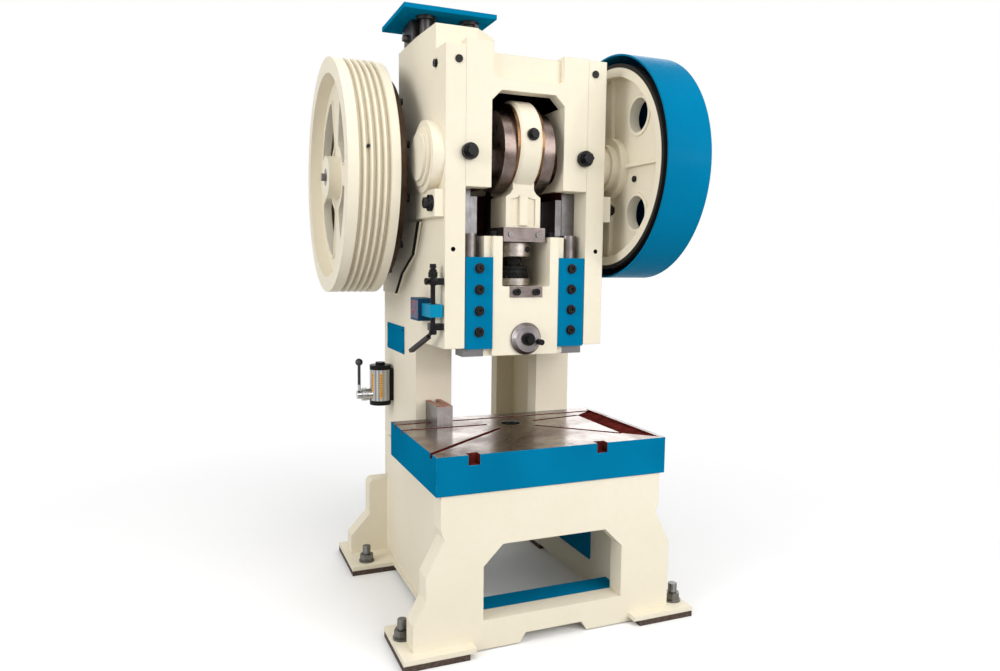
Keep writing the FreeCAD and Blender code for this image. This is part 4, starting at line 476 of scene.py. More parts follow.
chrome = bareMetal("chrome", {
    "cut": (1, 1, 1), "lines": 400, "colour": (0.58, 0.58, 0.58), "other": (0.46, 0.46, 0.47),
    "deep": (0.30, 0.30, 0.31), "rubbed": (0.80, 0.80, 0.80), "rough": 0.10, "bump": 0.08})
blackScrew = dullSkin("blackOxide", {
    "speck": 260, "colour": (0.0065, 0.0065, 0.0070), "other": (0.014, 0.013, 0.013),
    "rubbed": (0.30, 0.29, 0.28), "rough": 0.24, "wear": 0.8, "bump": 0.15, "edge": 0.0010})
blackPlastic = dullSkin("blackPlastic", {
    "speck": 500, "colour": (0.006, 0.006, 0.0065), "other": (0.011, 0.011, 0.012),
    "rubbed": (0.05, 0.05, 0.05), "rough": 0.36, "bump": 0.25})
blackRubber = dullSkin("blackRubber", {
    "speck": 320, "colour": (0.005, 0.005, 0.005), "other": (0.010, 0.0095, 0.009),
    "rubbed": (0.04, 0.04, 0.038), "rough": 0.62, "bump": 0.5})
clampSteel = bareMetal("clampSteel", {
    "cut": (0.03, 1, 1), "lines": 900, "colour": (0.195, 0.165, 0.155), "other": (0.14, 0.115, 0.108),
    "deep": (0.08, 0.062, 0.058), "rubbed": (0.42, 0.40, 0.38), "rough": 0.30, "bump": 0.22})
darkSteel = bareMetal("darkSteel", {
    "cut": (1, 1, 0.05), "lines": 700, "colour": (0.060, 0.056, 0.055), "other": (0.095, 0.088, 0.085),
    "deep": (0.024, 0.021, 0.020), "rubbed": (0.26, 0.25, 0.245), "rough": 0.30})
padIron = dullSkin("padIron", {
    "speck": 90, "colour": (0.065, 0.045, 0.035), "other": (0.105, 0.078, 0.062),
    "rubbed": (0.18, 0.15, 0.13), "rough": 0.6, "bump": 0.6, "edge": 0.0014})

# bed plate: painted rim, ground top with a brown bloom, slots and recess left in red-brown primer
bed = {
    "paint": (0.001, 0.180, 0.350), "paintDeep": (0.001, 0.150, 0.295), "chip": (0.06, 0.36, 0.52),
    "ground": (0.41, 0.365, 0.335), "bloom": (0.145, 0.070, 0.062), "warm": (0.25, 0.19, 0.155),
    "scratch": (0.10, 0.07, 0.06), "bright": (0.66, 0.64, 0.62), "holeWall": (0.20, 0.19, 0.185),
    "slot": (0.150, 0.022, 0.016), "slotDeep": (0.062, 0.010, 0.009), "paintRough": 0.42,
    "low": (-0.400, -0.380), "high": (0.400, 0.158), "rim": 0.0016, "skin": 0.0006, "edge": 0.0030,
    "hole": 0.037,  # half the square round the die hole
}


def bedFinish(bed):
    finish, tree, shader, place = startFinish("bedPlate")
    rounded = roundedEdge(tree, bed["edge"])
    rub = edgeShare(tree, rounded, 0.01, 0.10)
    axes = parts(tree, place)
    rim = bed["rim"]
    core = inside(tree, place, (bed["low"][0] + rim, bed["low"][1] + rim, None),
                  (bed["high"][0] - rim, bed["high"][1] - rim, None), 0.0002)
    upper = span(tree, axes[2], -bed["skin"] - 0.0002, -bed["skin"] + 0.0002)
    bloom = span(tree, grain(tree, place, 4.5, 4, 0.62, 1.2), 0.38, 0.66)
    shine = span(tree, grain(tree, place, 11, 3, 0.6), 0.42, 0.7, 0, 0.7)
    lines = grain(tree, stretched(tree, place, (0.015, 1, 1)), 620, 3, 0.6)
    top = blendOf(tree, bloom, bed["ground"], bed["bloom"])
    top = blendOf(tree, shine, top, bed["warm"])
    top = blendOf(tree, span(tree, lines, 0.35, 0.65, 0, 0.35), top, bed["scratch"])
    primed = span(tree, grain(tree, place, 30, 4, 0.6), 0.35, 0.65)
    primer = blendOf(tree, primed, bed["slot"], bed["slotDeep"])
    painted = span(tree, grain(tree, place, 3, 2), 0.35, 0.65)
    paint = blendOf(tree, painted, bed["paint"], bed["paintDeep"])
    chips = timesOf(tree, rub, span(tree, grain(tree, place, 130, 5, 0.7), 0.48, 0.6))
    paint = blendOf(tree, chips, paint, bed["chip"])
    bright = timesOf(tree, rub, span(tree, grain(tree, place, 75, 4, 0.65), 0.38, 0.55, 0.2, 1.0))
    hole = inside(tree, place, (-bed["hole"], -bed["hole"], None), (bed["hole"], bed["hole"], None), 0.0004)
    primer = blendOf(tree, hole, primer, bed["holeWall"])
    middle = blendOf(tree, upper, primer, blendOf(tree, bright, top, bed["bright"]))
    feed(tree, shader.inputs["Base Color"], blendOf(tree, core, paint, middle))
    metal = timesOf(tree, core, mathOf(tree, "MAXIMUM", upper, hole))
    feed(tree, shader.inputs["Metallic"], metal)
    shader.inputs["Specular IOR Level"].default_value = 0.0
    groundRough = timesOf(tree, metal, span(tree, bloom, 0, 1, 0.20, 0.34))
    paintRough = timesOf(tree, mathOf(tree, "SUBTRACT", 1.0, metal), bed["paintRough"])
    feed(tree, shader.inputs["Roughness"], mathOf(tree, "ADD", groundRough, paintRough))
    feed(tree, shader.inputs["Normal"], bumpOf(tree, lines, 0.12, 0.0002, rounded))
    return finish


bedPlate = bedFinish(bed)

# gear wheel: painted web and rim, bare teeth near black, greasy steel darkened further as painted shade of
# the guard
teeth = {"root": 0.352, "colour": (0.028, 0.025, 0.023)}


def bareTeethAndShade(tree, place, colour):
    axes = parts(tree, centredOn(tree, place, crankAxis))
    outer = span(tree, lengthOf(tree, axes[1], axes[2]), teeth["root"] - 0.001, teeth["root"] + 0.001)
    return blendOf(tree, outer, colour, teeth["colour"])


gearCream = enamel("gearCream", dict(creamLook, extra=bareTeethAndShade))

# flywheel: painted shade in the belt grooves, darker towards their floors
belt = {"floor": 0.4090, "outer": 0.4215, "low": -0.5725, "high": -0.4075, "cover": 0.85,
        "grooveShade": (0.60, 0.535, 0.405)}


def shadedGrooves(tree, place, colour):
    axes = parts(tree, centredOn(tree, place, wheelAxis))
    radius = lengthOf(tree, axes[1], axes[2])
    # painted shade: the deeper into a groove, the darker
    depth = span(tree, radius, belt["outer"], belt["floor"])
    band = timesOf(tree, span(tree, axes[0], belt["low"], belt["low"] + 0.002),
                   span(tree, axes[0], belt["high"], belt["high"] - 0.002))
    rim = span(tree, radius, belt["floor"] - 0.006, belt["floor"] - 0.004)
    share = timesOf(tree, timesOf(tree, depth, band), rim)
    return blendOf(tree, timesOf(tree, share, belt["cover"]), colour, belt["grooveShade"])


wheelCream = enamel("wheelCream", dict(creamLook, extra=shadedGrooves))

# setting block: ground sides, scraped red-brown top with a dark oil spot
blockTop = {"level": 0.0706, "rust": (0.45, 0.065, 0.030), "pale": (0.36, 0.22, 0.16),
            "spot": (0.02, 0.02, 0.02)}


def scrapedTop(tree, place, colour):
    axes = parts(tree, place)
    upper = span(tree, axes[2], blockTop["level"] - 0.0003, blockTop["level"] + 0.0003)
    patch = span(tree, grain(tree, place, 46, 3, 0.6, 1.5), 0.46, 0.56)
    tone = blendOf(tree, patch, blockTop["pale"], blockTop["rust"])
    drops = grain(tree, stretched(tree, place, (1, 1, 1), move=(0.3, 0.1, 0)), 60, 2, 0.5)
    tone = blendOf(tree, span(tree, drops, 0.60, 0.66), tone, blockTop["spot"])
    return blendOf(tree, upper, colour, tone)


blockSteel = bareMetal("blockSteel", {
    "cut": (1, 1, 0.03), "lines": 800, "colour": (0.34, 0.325, 0.32), "other": (0.26, 0.245, 0.24),
    "deep": (0.17, 0.155, 0.15), "rubbed": (0.62, 0.60, 0.58), "rough": 0.28, "extra": scrapedTop})

# switch box: navy case with a worn red plate on its side, bright blue nose in front
caseLook = {
    "navy": (0.010, 0.055, 0.115), "bright": (0.003, 0.235, 0.40), "rubbed": (0.12, 0.42, 0.58),
    "red": (0.60, 0.045, 0.02), "teal": (0.01, 0.20, 0.30), "bare": (0.02, 0.04, 0.08),
    "noseFrom": -0.0302, "plate": ((-0.36, -0.0285, 0.384), (-0.3517, 0.064, 0.444)), "gloss": 0.03,
}


def caseFinish(caseLook):
    finish, tree, shader, place = startFinish("switchCase")
    rounded = roundedEdge(tree, 0.002)
    rub = edgeShare(tree, rounded)
    axes = parts(tree, place)
    nose = span(tree, axes[1], caseLook["noseFrom"] + 0.0003, caseLook["noseFrom"] - 0.0003)
    plate = inside(tree, place, *caseLook["plate"], 0.0006)
    patch = span(tree, grain(tree, place, 85, 3, 0.6, 1.8), 0.50, 0.53)
    moved = stretched(tree, place, (1, 1, 1), move=(2, 1, 0))
    second = span(tree, grain(tree, moved, 120, 2, 0.5, 1.2), 0.56, 0.60)
    worn = blendOf(tree, patch, caseLook["teal"], caseLook["red"])
    worn = blendOf(tree, second, worn, caseLook["bare"])
    colour = blendOf(tree, plate, caseLook["navy"], worn)
    colour = blendOf(tree, nose, colour, caseLook["bright"])
    colour = blendOf(tree, timesOf(tree, rub, 0.4), colour, caseLook["rubbed"])
    feed(tree, shader.inputs["Base Color"], colour)
    shader.inputs["Specular IOR Level"].default_value = caseLook["gloss"]
    speck = grain(tree, place, 420, 3)
    feed(tree, shader.inputs["Roughness"], span(tree, speck, 0.3, 0.7, 0.30, 0.44))
    feed(tree, shader.inputs["Normal"], bumpOf(tree, speck, 0.15, 0.0003, rounded))
    return finish


switchCase = caseFinish(caseLook)

# barrel of the pump, painted as clear plastic: oil behind it, two yellow gauge strips, pale flutes
barrelLook = {
    "glass": (0.58, 0.58, 0.565), "pale": (0.88, 0.88, 0.86), "dark": (0.24, 0.23, 0.21),
    "stripe": (0.80, 0.36, 0.01), "tick": (0.08, 0.05, 0.01), "coat": 0.5, "coatRough": 0.06,
    "centre": (-0.356, 0.504, 0), "low": 0.030, "high": 0.128, "tickPitch": 0.005,
    "stripes": (-1.72, -2.62), "stripeHalf": 0.13,  # turns round the barrel, in radians
}


def barrelFinish(barrelLook):
    finish, tree, shader, place = startFinish("clearBarrel")
    axes = parts(tree, centredOn(tree, place, barrelLook["centre"]))
    turn = mathOf(tree, "ARCTAN2", axes[1], axes[0])
    ring = tree.nodes.new("ShaderNodeCombineXYZ")
    tree.links.new(turn, ring.inputs[0])
    bands = grain(tree, ring.outputs[0], 5.5, 2, 0.5)
    colour = blendOf(tree, span(tree, bands, 0.42, 0.60), barrelLook["dark"], barrelLook["glass"])
    colour = blendOf(tree, span(tree, bands, 0.58, 0.66), colour, barrelLook["pale"])
    half = barrelLook["stripeHalf"]
    stripes = 0.0
    for middle in barrelLook["stripes"]:
        away = mathOf(tree, "ABSOLUTE", mathOf(tree, "SUBTRACT", turn, middle))
        stripes = mathOf(tree, "MAXIMUM", stripes, span(tree, away, half + 0.02, half - 0.02))
    height = timesOf(tree, span(tree, axes[2], barrelLook["low"], barrelLook["low"] + 0.001),
                     span(tree, axes[2], barrelLook["high"] + 0.001, barrelLook["high"]))
    ticks = span(tree, mathOf(tree, "PINGPONG", axes[2], barrelLook["tickPitch"]), 0.0006, 0.0011)
    strip = blendOf(tree, ticks, barrelLook["tick"], barrelLook["stripe"])
    colour = blendOf(tree, timesOf(tree, stripes, height), colour, strip)
    feed(tree, shader.inputs["Base Color"], colour)
    shader.inputs["Coat Weight"].default_value = barrelLook["coat"]
    shader.inputs["Coat Roughness"].default_value = barrelLook["coatRough"]
    feed(tree, shader.inputs["Roughness"], span(tree, grain(tree, place, 90, 3), 0.3, 0.7, 0.12, 0.2))
    return finish


clearBarrel = barrelFinish(barrelLook)

# hand lever of the pump: chrome socket below, black rod and ball above
leverLook = {"chromeTo": 0.082, "chrome": (0.56, 0.56, 0.56), "chromeDim": (0.42, 0.42, 0.42),
             "black": (0.014, 0.014, 0.015), "blackPale": (0.028, 0.028, 0.029), "edge": 0.0008}


def leverFinish(leverLook):
    finish, tree, shader, place = startFinish("pumpLever")
    axes = parts(tree, place)
    upper = span(tree, axes[2], leverLook["chromeTo"], leverLook["chromeTo"] + 0.001)
    speck = grain(tree, place, 300, 3)
    bright = blendOf(tree, speck, leverLook["chrome"], leverLook["chromeDim"])
    dark = blendOf(tree, speck, leverLook["black"], leverLook["blackPale"])
    feed(tree, shader.inputs["Base Color"], blendOf(tree, upper, bright, dark))
    feed(tree, shader.inputs["Metallic"], mathOf(tree, "SUBTRACT", 1.0, upper))
    feed(tree, shader.inputs["Roughness"], span(tree, speck, 0.3, 0.7, 0.12, 0.24))
    feed(tree, shader.inputs["Normal"], roundedEdge(tree, leverLook["edge"]))
    return finish


pumpLeverSkin = leverFinish(leverLook)

# finish of each slot in the record, and of the nodes that have one of their own
finishOf = {
    "cream_paint": cream, "blue_paint": blue, "black_steel": blackScrew, "ground_steel": groundSteel,
    "brown_steel": crankSteel, "bronze": bronze, "black_rubber": blackRubber, "pad_rubber": padIron,
    "chrome": chrome, "black_plastic": blackPlastic,
}
ownFinish = {
    "clutch_plate": clutchSteel, "drive_shaft": shaftSteel, "ram_dial": dialSteel, "anchor_studs": zinc,
    "anchor_nuts": zinc, "lock_nut": nutSteelLit, "seat_ring": nutSteelLit, "guide_posts": spindleSteel,
    "motor_posts": darkSteel, "motor_tilt_block": darkSteel, "pinion": shaftSteel, "rod_clamp": clampSteel,
    "seat_retainer": clampSteel, "bolster_plate": bedPlate, "gear_wheel": gearCream,
    "setting_block": blockSteel, "gear_guard": guardBlue, "switch_box": switchCase,
    "pump_barrel": clearBarrel, "pump_lever": pumpLeverSkin, "frame_base": plainCream, "ram": plainCream,
    "connecting_rod": plainCream, "flywheel": wheelCream, "crank_bridge": plainCream,
    "drive_bearings": plainCream, "crank_collar": plainCream, "left_bearing_cover": plainCream,
    "flywheel_shield": plainCream,
}
for name, piece in nodes.items():
    chosen = ownFinish.get(name) or finishOf[slotOf[name]]
    if not piece.material_slots:
        piece.data.materials.append(chosen)
    for holder in piece.material_slots:
        holder.material = chosen
print("press: finishes on the frame's own parts")

# modelling helpers: every piece is shaped at the origin and then settled in its place
faceTurn = {"-Y": (math.pi / 2, 0, 0), "-X": (0, -math.pi / 2, 0), "X": (0, math.pi / 2, 0), "Z": (0, 0, 0)}
smoothAngle = math.radians(32)


def pickFaces(piece, test):
    # selects, in edit mode, the faces whose centre and normal pass the test
    bpy.ops.object.mode_set(mode="OBJECT")
    for vertex in piece.data.vertices:
        vertex.select = False
    for edge in piece.data.edges:
        edge.select = False
    for face in piece.data.polygons:
        face.select = test(face.center, face.normal)
    bpy.ops.object.mode_set(mode="EDIT")
    bpy.ops.mesh.select_mode(type="FACE")


def pickPoints(piece, test):
    # selects, in edit mode, the points that pass the test and nothing else
    bpy.ops.object.mode_set(mode="EDIT")
    bpy.ops.mesh.select_mode(type="VERT")
    bpy.ops.mesh.select_all(action="DESELECT")
    bpy.ops.object.mode_set(mode="OBJECT")
    for vertex in piece.data.vertices:
        vertex.select = test(vertex.co)
    bpy.ops.object.mode_set(mode="EDIT")


def stack(name, rings, sides):
    # a turned shape: each (radius, height) is pulled out of the one before
    bpy.ops.object.select_all(action="DESELECT")
    radius, level = rings[0]
    bpy.ops.mesh.primitive_circle_add(vertices=sides, radius=radius, fill_type="NGON", location=(0, 0, 0))
    piece = bpy.context.object
    piece.name = name
    bpy.ops.object.mode_set(mode="EDIT")
    bpy.ops.mesh.select_all(action="SELECT")
    bpy.ops.transform.translate(value=(0, 0, level))
    for wide, high in rings[1:]:
        bpy.ops.mesh.extrude_region_move(TRANSFORM_OT_translate={"value": (0, 0, high - level)})
        if abs(wide - radius) > 1e-7:
            bpy.ops.transform.resize(value=(wide / radius, wide / radius, 1))
        radius, level = wide, high
    bpy.ops.mesh.select_all(action="SELECT")
    bpy.ops.mesh.normals_make_consistent(inside=False)
    bpy.ops.object.mode_set(mode="OBJECT")
    return piece


def sinkSocket(piece, level, wall, deep):
    # round socket in the flat top of a turned shape, a wall's width inside its rim
    pickFaces(piece, lambda centre, normal: normal.z > 0.9 and abs(centre.z - level) < 1e-5)
    bpy.ops.mesh.inset(thickness=wall, depth=0)
    bpy.ops.mesh.extrude_region_move(TRANSFORM_OT_translate={"value": (0, 0, -deep)})
    bpy.ops.object.mode_set(mode="OBJECT")


def socketScrew(name, look):
    # round head with a bevelled rim and a socket in its top
    radius, high = look["radius"], look["high"]
    piece = stack(name, [(radius, 0), (radius, high - 0.001), (radius - 0.001, high)], look["sides"])
    sinkSocket(piece, high, look["wall"], look["deep"])
    return piece


def soften(piece, width, angle=35, count=2):
    edge = piece.modifiers.new("edge", "BEVEL")
    edge.width = width
    edge.segments = count
    edge.limit_method = "ANGLE"
    edge.angle_limit = math.radians(angle)
    bpy.context.view_layer.objects.active = piece
    bpy.ops.object.modifier_apply(modifier="edge")


def settle(piece, place, turn, finish, body):
    bpy.ops.object.select_all(action="DESELECT")
    piece.select_set(True)
    bpy.context.view_layer.objects.active = piece
    piece.rotation_euler = faceTurn[turn] if isinstance(turn, str) else turn
    piece.location = place
    bpy.ops.object.transform_apply(location=True, rotation=True, scale=True)
    piece.data.materials.clear()
    piece.data.materials.append(finish)
    bpy.ops.object.shade_smooth_by_angle(angle=smoothAngle)
    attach(piece, body)
    return piece


def repeat(piece, moves, body):
    # copies of a settled piece, each with its own mesh
    for number, move in enumerate(moves, 2):
        bpy.ops.object.select_all(action="DESELECT")
        piece.select_set(True)
        bpy.context.view_layer.objects.active = piece
        bpy.ops.object.duplicate()
        twin = bpy.context.object
        twin.name = piece.name + "_" + str(number)
        twin.location = move
        bpy.ops.object.transform_apply(location=True, rotation=True, scale=True)
        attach(twin, body)


threadSteps = 24  # in one turn


def thread(name, look, place, finish, body):
    # one edge with a crest in its middle, wound up into a helix
    bpy.ops.object.select_all(action="DESELECT")
    bpy.ops.mesh.primitive_plane_add(size=look["pitch"], location=(0, 0, 0), rotation=(math.pi / 2, 0, 0))
    piece = bpy.context.object
    piece.name = name
    bpy.ops.object.transform_apply(location=True, rotation=True, scale=True)
    pickPoints(piece, lambda point: point.x > 0)
    bpy.ops.mesh.delete(type="VERT")
    bpy.ops.mesh.select_all(action="SELECT")
    bpy.ops.mesh.subdivide(number_cuts=1)
    middle = look["low"] + look["pitch"] / 2
    bpy.ops.transform.translate(value=(look["radius"] + look["pitch"] / 2, 0, middle))
    bpy.ops.object.mode_set(mode="OBJECT")
    pickPoints(piece, lambda point: abs(point.z - middle) < 1e-6)
    bpy.ops.transform.translate(value=(look["crest"], 0, 0))
    bpy.ops.object.mode_set(mode="OBJECT")
    wind = piece.modifiers.new("wind", "SCREW")
    wind.axis = "Z"
    wind.screw_offset = look["pitch"]
    wind.iterations = look["turns"]
    wind.steps = threadSteps
    wind.render_steps = threadSteps
    wind.use_merge_vertices = True
    bpy.ops.object.modifier_apply(modifier="wind")
    bpy.ops.object.mode_set(mode="EDIT")
    bpy.ops.mesh.select_all(action="SELECT")
    bpy.ops.mesh.remove_doubles(threshold=0.00001)
    bpy.ops.mesh.normals_make_consistent(inside=False)
    bpy.ops.object.mode_set(mode="OBJECT")
    outside = sum(face.normal.x * face.center.x + face.normal.y * face.center.y
                  for face in piece.data.polygons)
    if outside < 0:
        bpy.ops.object.mode_set(mode="EDIT")
        bpy.ops.mesh.flip_normals()
        bpy.ops.object.mode_set(mode="OBJECT")
    print("press:", name, len(piece.data.polygons), "faces")
    return settle(piece, place, "Z", finish, body)


# washers under the guide bolts
gibWasher = {"radius": 0.0175, "hole": 0.0142, "thick": 0.0030, "face": -0.121, "left": -0.1705, "low": 0.343,
             "pitch": 0.0706, "count": 4}
wide, thick = gibWasher["radius"], gibWasher["thick"]
washer = stack("gibWasher", [(wide - 0.001, 0), (wide, 0.0008), (wide, thick - 0.001), (wide - 0.0012, thick),
                             (gibWasher["hole"], thick)], 40)
settle(washer, (gibWasher["left"], gibWasher["face"], gibWasher["low"]), "-Y",
       blackScrew, "frame")
spots = [(x, gibWasher["pitch"] * k) for x in (0, -2 * gibWasher["left"]) for k in range(gibWasher["count"])]
repeat(washer, [(x, 0, up) for x, up in spots[1:]], "frame")
print("press: washers of the guide bolts")

# studs of the feet, threaded above their nuts
studThread = {"radius": 0.0140, "crest": 0.0013, "pitch": 0.0030, "low": -0.5615, "turns": 10,
              "studs": [(-0.474, -0.269), (0.474, -0.345), (-0.444, 0.372), (0.444, 0.372)]}
firstX, firstY = studThread["studs"][0]
stud = thread("studThread", studThread, (firstX, firstY, 0), zinc, "frame")
repeat(stud, [(x - firstX, y - firstY, 0) for x, y in studThread["studs"][1:]], "frame")

# adjusting screw: open thread between the ball seat and the lock nut
ramThread = {"radius": 0.0262, "crest": 0.0022, "pitch": 0.0052, "low": 0.563, "turns": 6}
thread("ramThread", ramThread, (0, 0, 0), blackScrew, "rod")
print("press: threads")

# ground facings of the cheeks, flush with the rails beside them
facing = {"inner": 0.1722, "outer": 0.2214, "low": 0.6702, "high": 0.8195, "front": -0.0325, "back": -0.0301,
          "edge": 0.0012, "proud": 0.0006}
bpy.ops.object.select_all(action="DESELECT")
bpy.ops.mesh.primitive_cube_add(size=1, location=(0, 0, 0))
cheek = bpy.context.object
cheek.name = "railFacing"
cheek.scale = (facing["outer"] - facing["inner"], facing["back"] - facing["front"],
               facing["high"] - facing["low"])
bpy.ops.object.transform_apply(location=True, rotation=True, scale=True)
pickFaces(cheek, lambda centre, normal: normal.y < -0.9)
bpy.ops.mesh.inset(thickness=facing["edge"], depth=0)
bpy.ops.mesh.extrude_region_move(TRANSFORM_OT_translate={"value": (0, -facing["proud"], 0)})
bpy.ops.object.mode_set(mode="OBJECT")
soften(cheek, 0.0003, 40, 1)
settle(cheek, (-(facing["inner"] + facing["outer"]) / 2, (facing["front"] + facing["back"]) / 2,
               (facing["low"] + facing["high"]) / 2), "Z", groundSteel, "frame")
repeat(cheek, [(facing["inner"] + facing["outer"], 0, 0)], "frame")

# screw in the side of the lock nut
nutScrew = {"radius": 0.0095, "high": 0.006, "sides": 32, "wall": 0.0042, "deep": 0.004,
            "ring": 0.0615, "turn": 0.50, "level": 0.620}
settle(socketScrew("lockScrew", nutScrew),
       (math.sin(nutScrew["turn"]) * nutScrew["ring"], -math.cos(nutScrew["turn"]) * nutScrew["ring"],
        nutScrew["level"]), (math.pi / 2, 0, nutScrew["turn"]), blackScrew, "rod")

# screws round the seat ring
ringScrew = {"radius": 0.0058, "high": 0.0075, "sides": 24, "wall": 0.0024, "deep": 0.003,
             "ring": 0.0558, "level": 0.5195, "count": 8}
seatScrew = socketScrew("seatScrew", ringScrew)
settle(seatScrew, (0, -ringScrew["ring"], ringScrew["level"]), "Z", blackScrew, "rod")
turns = [math.tau * k / ringScrew["count"] for k in range(1, ringScrew["count"])]
repeat(seatScrew, [(math.sin(turn) * ringScrew["ring"], (1 - math.cos(turn)) * ringScrew["ring"], 0)
                   for turn in turns], "rod")

# ribbed collar of the ball seat: radius and height of each of its edges
seatCollar = {"sides": 48, "edges": [
    (0.0500, 0.5235), (0.0512, 0.5240), (0.0512, 0.5420), (0.0500, 0.5425),
    (0.0500, 0.5455), (0.0510, 0.5460), (0.0510, 0.5570), (0.0498, 0.5580)]}
seatSkirt = stack("seatSkirt", seatCollar["edges"], seatCollar["sides"])
settle(seatSkirt, (0, 0, 0), "Z", blackScrew, "rod")
print("press: screws under the rod")

# screw in the web of the gear wheel
gearScrew = {"radius": 0.0110, "high": 0.007, "sides": 32, "wall": 0.005, "deep": 0.005,
             "place": (0.3975, -0.150, 0.871)}
settle(socketScrew("webScrew", gearScrew), gearScrew["place"], "-X", blackScrew, "crank")

# black plug let into one of its grooves, put as painted shade where the rim has a small dark hole; its ends
# are measured from the wheel's axis
rimShadePlug = {"x": -0.509, "angle": 1.412, "from": 0.409, "to": 0.4245, "radius": 0.0050}
shadePlug = stack("rimShadePlug", [(rimShadePlug["radius"], rimShadePlug["from"]), (rimShadePlug["radius"], rimShadePlug["to"] - 0.0008),
                         (rimShadePlug["radius"] - 0.0006, rimShadePlug["to"])], 24)
sinkSocket(shadePlug, rimShadePlug["to"], 0.0018, 0.004)
settle(shadePlug, (rimShadePlug["x"], *wheelAxis[1:]), (rimShadePlug["angle"], 0, 0), blackScrew, "flywheel")

# sockets on the bolts round the clutch plate
clutchBolt = {"ring": 0.350, "count": 12, "seat": -0.3575, "radius": 0.0130, "high": 0.0062}
wide, high = clutchBolt["radius"], clutchBolt["high"]
socket = stack("clutchSocket", [(wide - 0.0010, 0), (wide, 0.0010), (wide, high - 0.0012),
                                (wide - 0.0012, high)], 28)
sinkSocket(socket, high, 0.0045, 0.004)
turns = [math.tau * (k + 0.5) / clutchBolt["count"] for k in range(clutchBolt["count"])]
spots = [(wheelAxis[1] + clutchBolt["ring"] * math.cos(turn),
          wheelAxis[2] + clutchBolt["ring"] * math.sin(turn)) for turn in turns]
settle(socket, (clutchBolt["seat"], *spots[0]), "X", blackScrew, "drive")
repeat(socket, [(0, y - spots[0][0], z - spots[0][1]) for y, z in spots[1:]], "drive")
print("press: clutch bolts")

# oil manifold on the back wall of the head, a bar of fittings seen past the rod
manifold = {"x": -0.008, "y": 0.2225, "low": 0.600, "fittings": 9, "pitch": 0.030, "end": 0.0060,
            "bodies": (0.0108, 0.0128),  # radius of every other fitting
            "neck": [(0.0075, 0.0155), (0.0075, 0.0195), (0.0095, 0.0205), (0.0095, 0.0250),
                     (0.0070, 0.0265)]}
beads = [(manifold["end"], manifold["low"])]
for k in range(manifold["fittings"]):
    base = manifold["low"] + manifold["pitch"] * k
    wide = manifold["bodies"][k % 2]
    body = [(wide - 0.0012, 0.002), (wide, 0.0035), (wide, 0.0130), (wide - 0.0012, 0.0145)]
    beads += [(radius, base + up) for radius, up in body + manifold["neck"]]
oilBar = stack("oilManifold", beads, 10)
soften(oilBar, 0.0005, 35, 1)
settle(oilBar, (manifold["x"], manifold["y"], 0), "Z", blackScrew, "frame")

# pump: a rim on each of its caps, from outside inwards
pumpRim = {"x": -0.356, "y": 0.504, "sides": 64,
           "levels": {"pumpRimLow": (0.0015, 0.0165), "pumpRimHigh": (0.1435, 0.1585)},
           "half": [(0.0400, 0), (0.0422, 0.0022), (0.0422, 0.006), (0.0410, 0.0068)]}
for name, (below, above) in pumpRim["levels"].items():
    rings = [(radius, below + up) for radius, up in pumpRim["half"]]
    rings += [(radius, above - up) for radius, up in reversed(pumpRim["half"])]
    rim = stack(name, rings, pumpRim["sides"])
    settle(rim, (pumpRim["x"], pumpRim["y"], 0), "Z", blackPlastic, "frame")

# knurled ring on the pump's valve
valve = {"place": (-0.4105, 0.504, 0.043), "sides": 72, "knurlFrom": 0.0262, "knurlDeep": 0.0007, "edges": [
    (0.0252, 0), (0.0266, 0.0012), (0.0266, 0.0088), (0.0252, 0.0100),
    (0.0252, 0.0125), (0.0266, 0.0135), (0.0266, 0.0180), (0.0250, 0.0190)]}


def inKnurl(centre, normal):
    side = int((math.atan2(centre.y, centre.x) + math.pi) / math.tau * valve["sides"] + 0.01)
    upright = abs(normal.z) < 0.3 and (centre.x ** 2 + centre.y ** 2) ** 0.5 > valve["knurlFrom"]
    return upright and side % 2 == 0


knurl = stack("valveKnurl", valve["edges"], valve["sides"])
pickFaces(knurl, inKnurl)
bpy.ops.mesh.inset(thickness=0.0002, use_individual=True)
bpy.ops.transform.shrink_fatten(value=-valve["knurlDeep"])
bpy.ops.object.mode_set(mode="OBJECT")
settle(knurl, valve["place"], "-X", chrome, "frame")
print("press: oil pump")

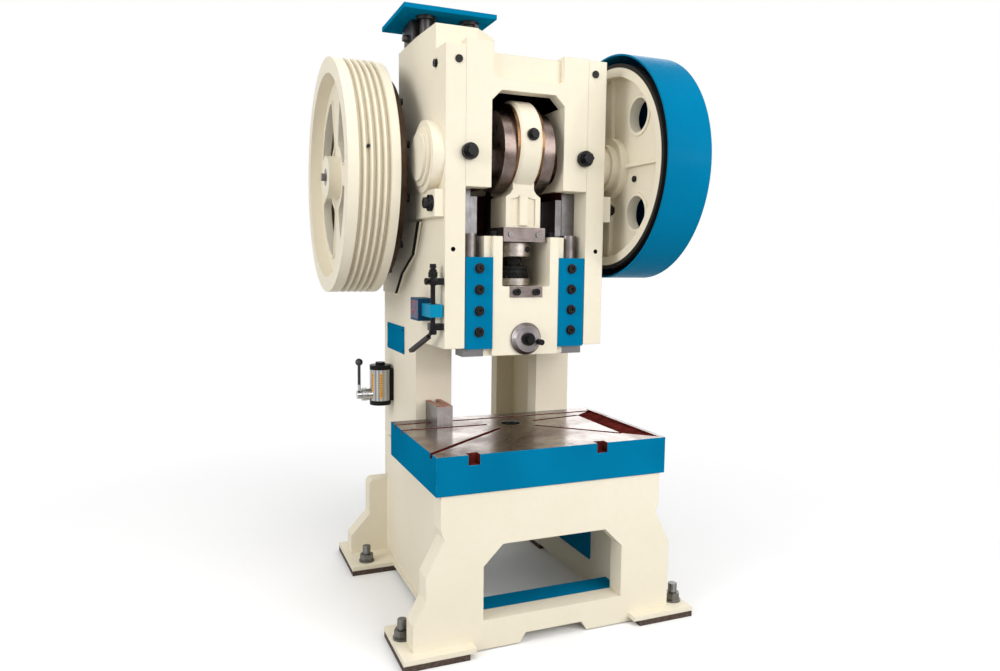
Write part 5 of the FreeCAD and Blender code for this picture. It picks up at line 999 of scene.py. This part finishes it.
# clamp on the control spindle, the two knobs beside it and the nut at the top
spindleFittings = {
    "spindleClamp": {
        "edges": [(0.0135, -0.010), (0.0160, -0.008), (0.0160, 0.008), (0.0135, 0.010)], "sides": 8,
        "soft": 0, "place": (-0.326, -0.104, 0.533), "turn": "Z", "body": "control_spindle"},
    "spindleKnob": {
        "edges": [(0.0060, 0), (0.0060, 0.004), (0.0120, 0.0045), (0.0130, 0.0075), (0.0130, 0.0110),
                  (0.0110, 0.0135), (0.0060, 0.0140)], "sides": 12,
        "soft": 0.0006, "place": (-0.326, -0.1178, 0.511), "turn": "-Y", "body": "frame"},
    "spindleKnobSide": {
        "edges": [(0.0055, 0), (0.0055, 0.004), (0.0105, 0.0045), (0.0115, 0.0080), (0.0115, 0.0120),
                  (0.0090, 0.0140)], "sides": 12,
        "soft": 0.0006, "place": (-0.3398, -0.104, 0.511), "turn": "-X", "body": "frame"},
    "spindleNut": {
        "edges": [(0.0110, 0), (0.0128, 0.0015), (0.0128, 0.0080), (0.0110, 0.0095), (0.0088, 0.0100),
                  (0.0088, 0.0135), (0.0115, 0.0140), (0.0115, 0.0200), (0.0095, 0.0215)], "sides": 6,
        "soft": 0.0005, "place": (-0.326, -0.104, 0.5405), "turn": "Z", "body": "control_spindle"},
}
for name, look in spindleFittings.items():
    fitting = stack(name, look["edges"], look["sides"])
    if look["soft"]:
        soften(fitting, look["soft"])
    settle(fitting, look["place"], look["turn"], blackScrew, look["body"])

# ribbed hand bar of the spindle, leaning out from its foot
handBar = {"wide": 0.0170, "long": 0.118, "thick": 0.0125, "groove": 0.0018, "ribs": 7,
           "lean": (-0.040, 0.120, -0.070), "foot": (-0.326, -0.104, 0.3410), "from": 0.026}
bpy.ops.object.select_all(action="DESELECT")
bpy.ops.mesh.primitive_grid_add(x_subdivisions=handBar["ribs"], y_subdivisions=1, size=1, location=(0, 0, 0))
bar = bpy.context.object
bar.name = "handBar"
bar.scale = (handBar["wide"], handBar["long"], 1)
bpy.ops.object.transform_apply(location=True, rotation=True, scale=True)
bpy.ops.object.mode_set(mode="EDIT")
bpy.ops.mesh.select_all(action="SELECT")
bpy.ops.transform.translate(value=(0, handBar["long"] / 2, -handBar["thick"] / 2))
bpy.ops.mesh.extrude_region_move(TRANSFORM_OT_translate={"value": (0, 0, handBar["thick"])})
bpy.ops.mesh.select_all(action="SELECT")
bpy.ops.mesh.normals_make_consistent(inside=False)
for up in (1, -1):
    pickFaces(bar, lambda centre, normal: normal.z * up > 0.9
              and round((centre.x / handBar["wide"] + 0.5) * handBar["ribs"] - 0.5) % 2 == 1)
    bpy.ops.mesh.extrude_region_move(TRANSFORM_OT_translate={"value": (0, 0, -up * handBar["groove"])})
bpy.ops.object.mode_set(mode="OBJECT")
soften(bar, 0.0004, 40, 1)
lean = Vector(handBar["lean"]).normalized()
across = Vector((0, 0, 1)).cross(lean).normalized()
stand = Matrix((across, lean, across.cross(lean))).transposed()
start = Vector(handBar["foot"]) + lean * handBar["from"]
settle(bar, start, stand.to_euler(), darkSteel, "control_spindle")
print("press: control spindle")

low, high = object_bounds()
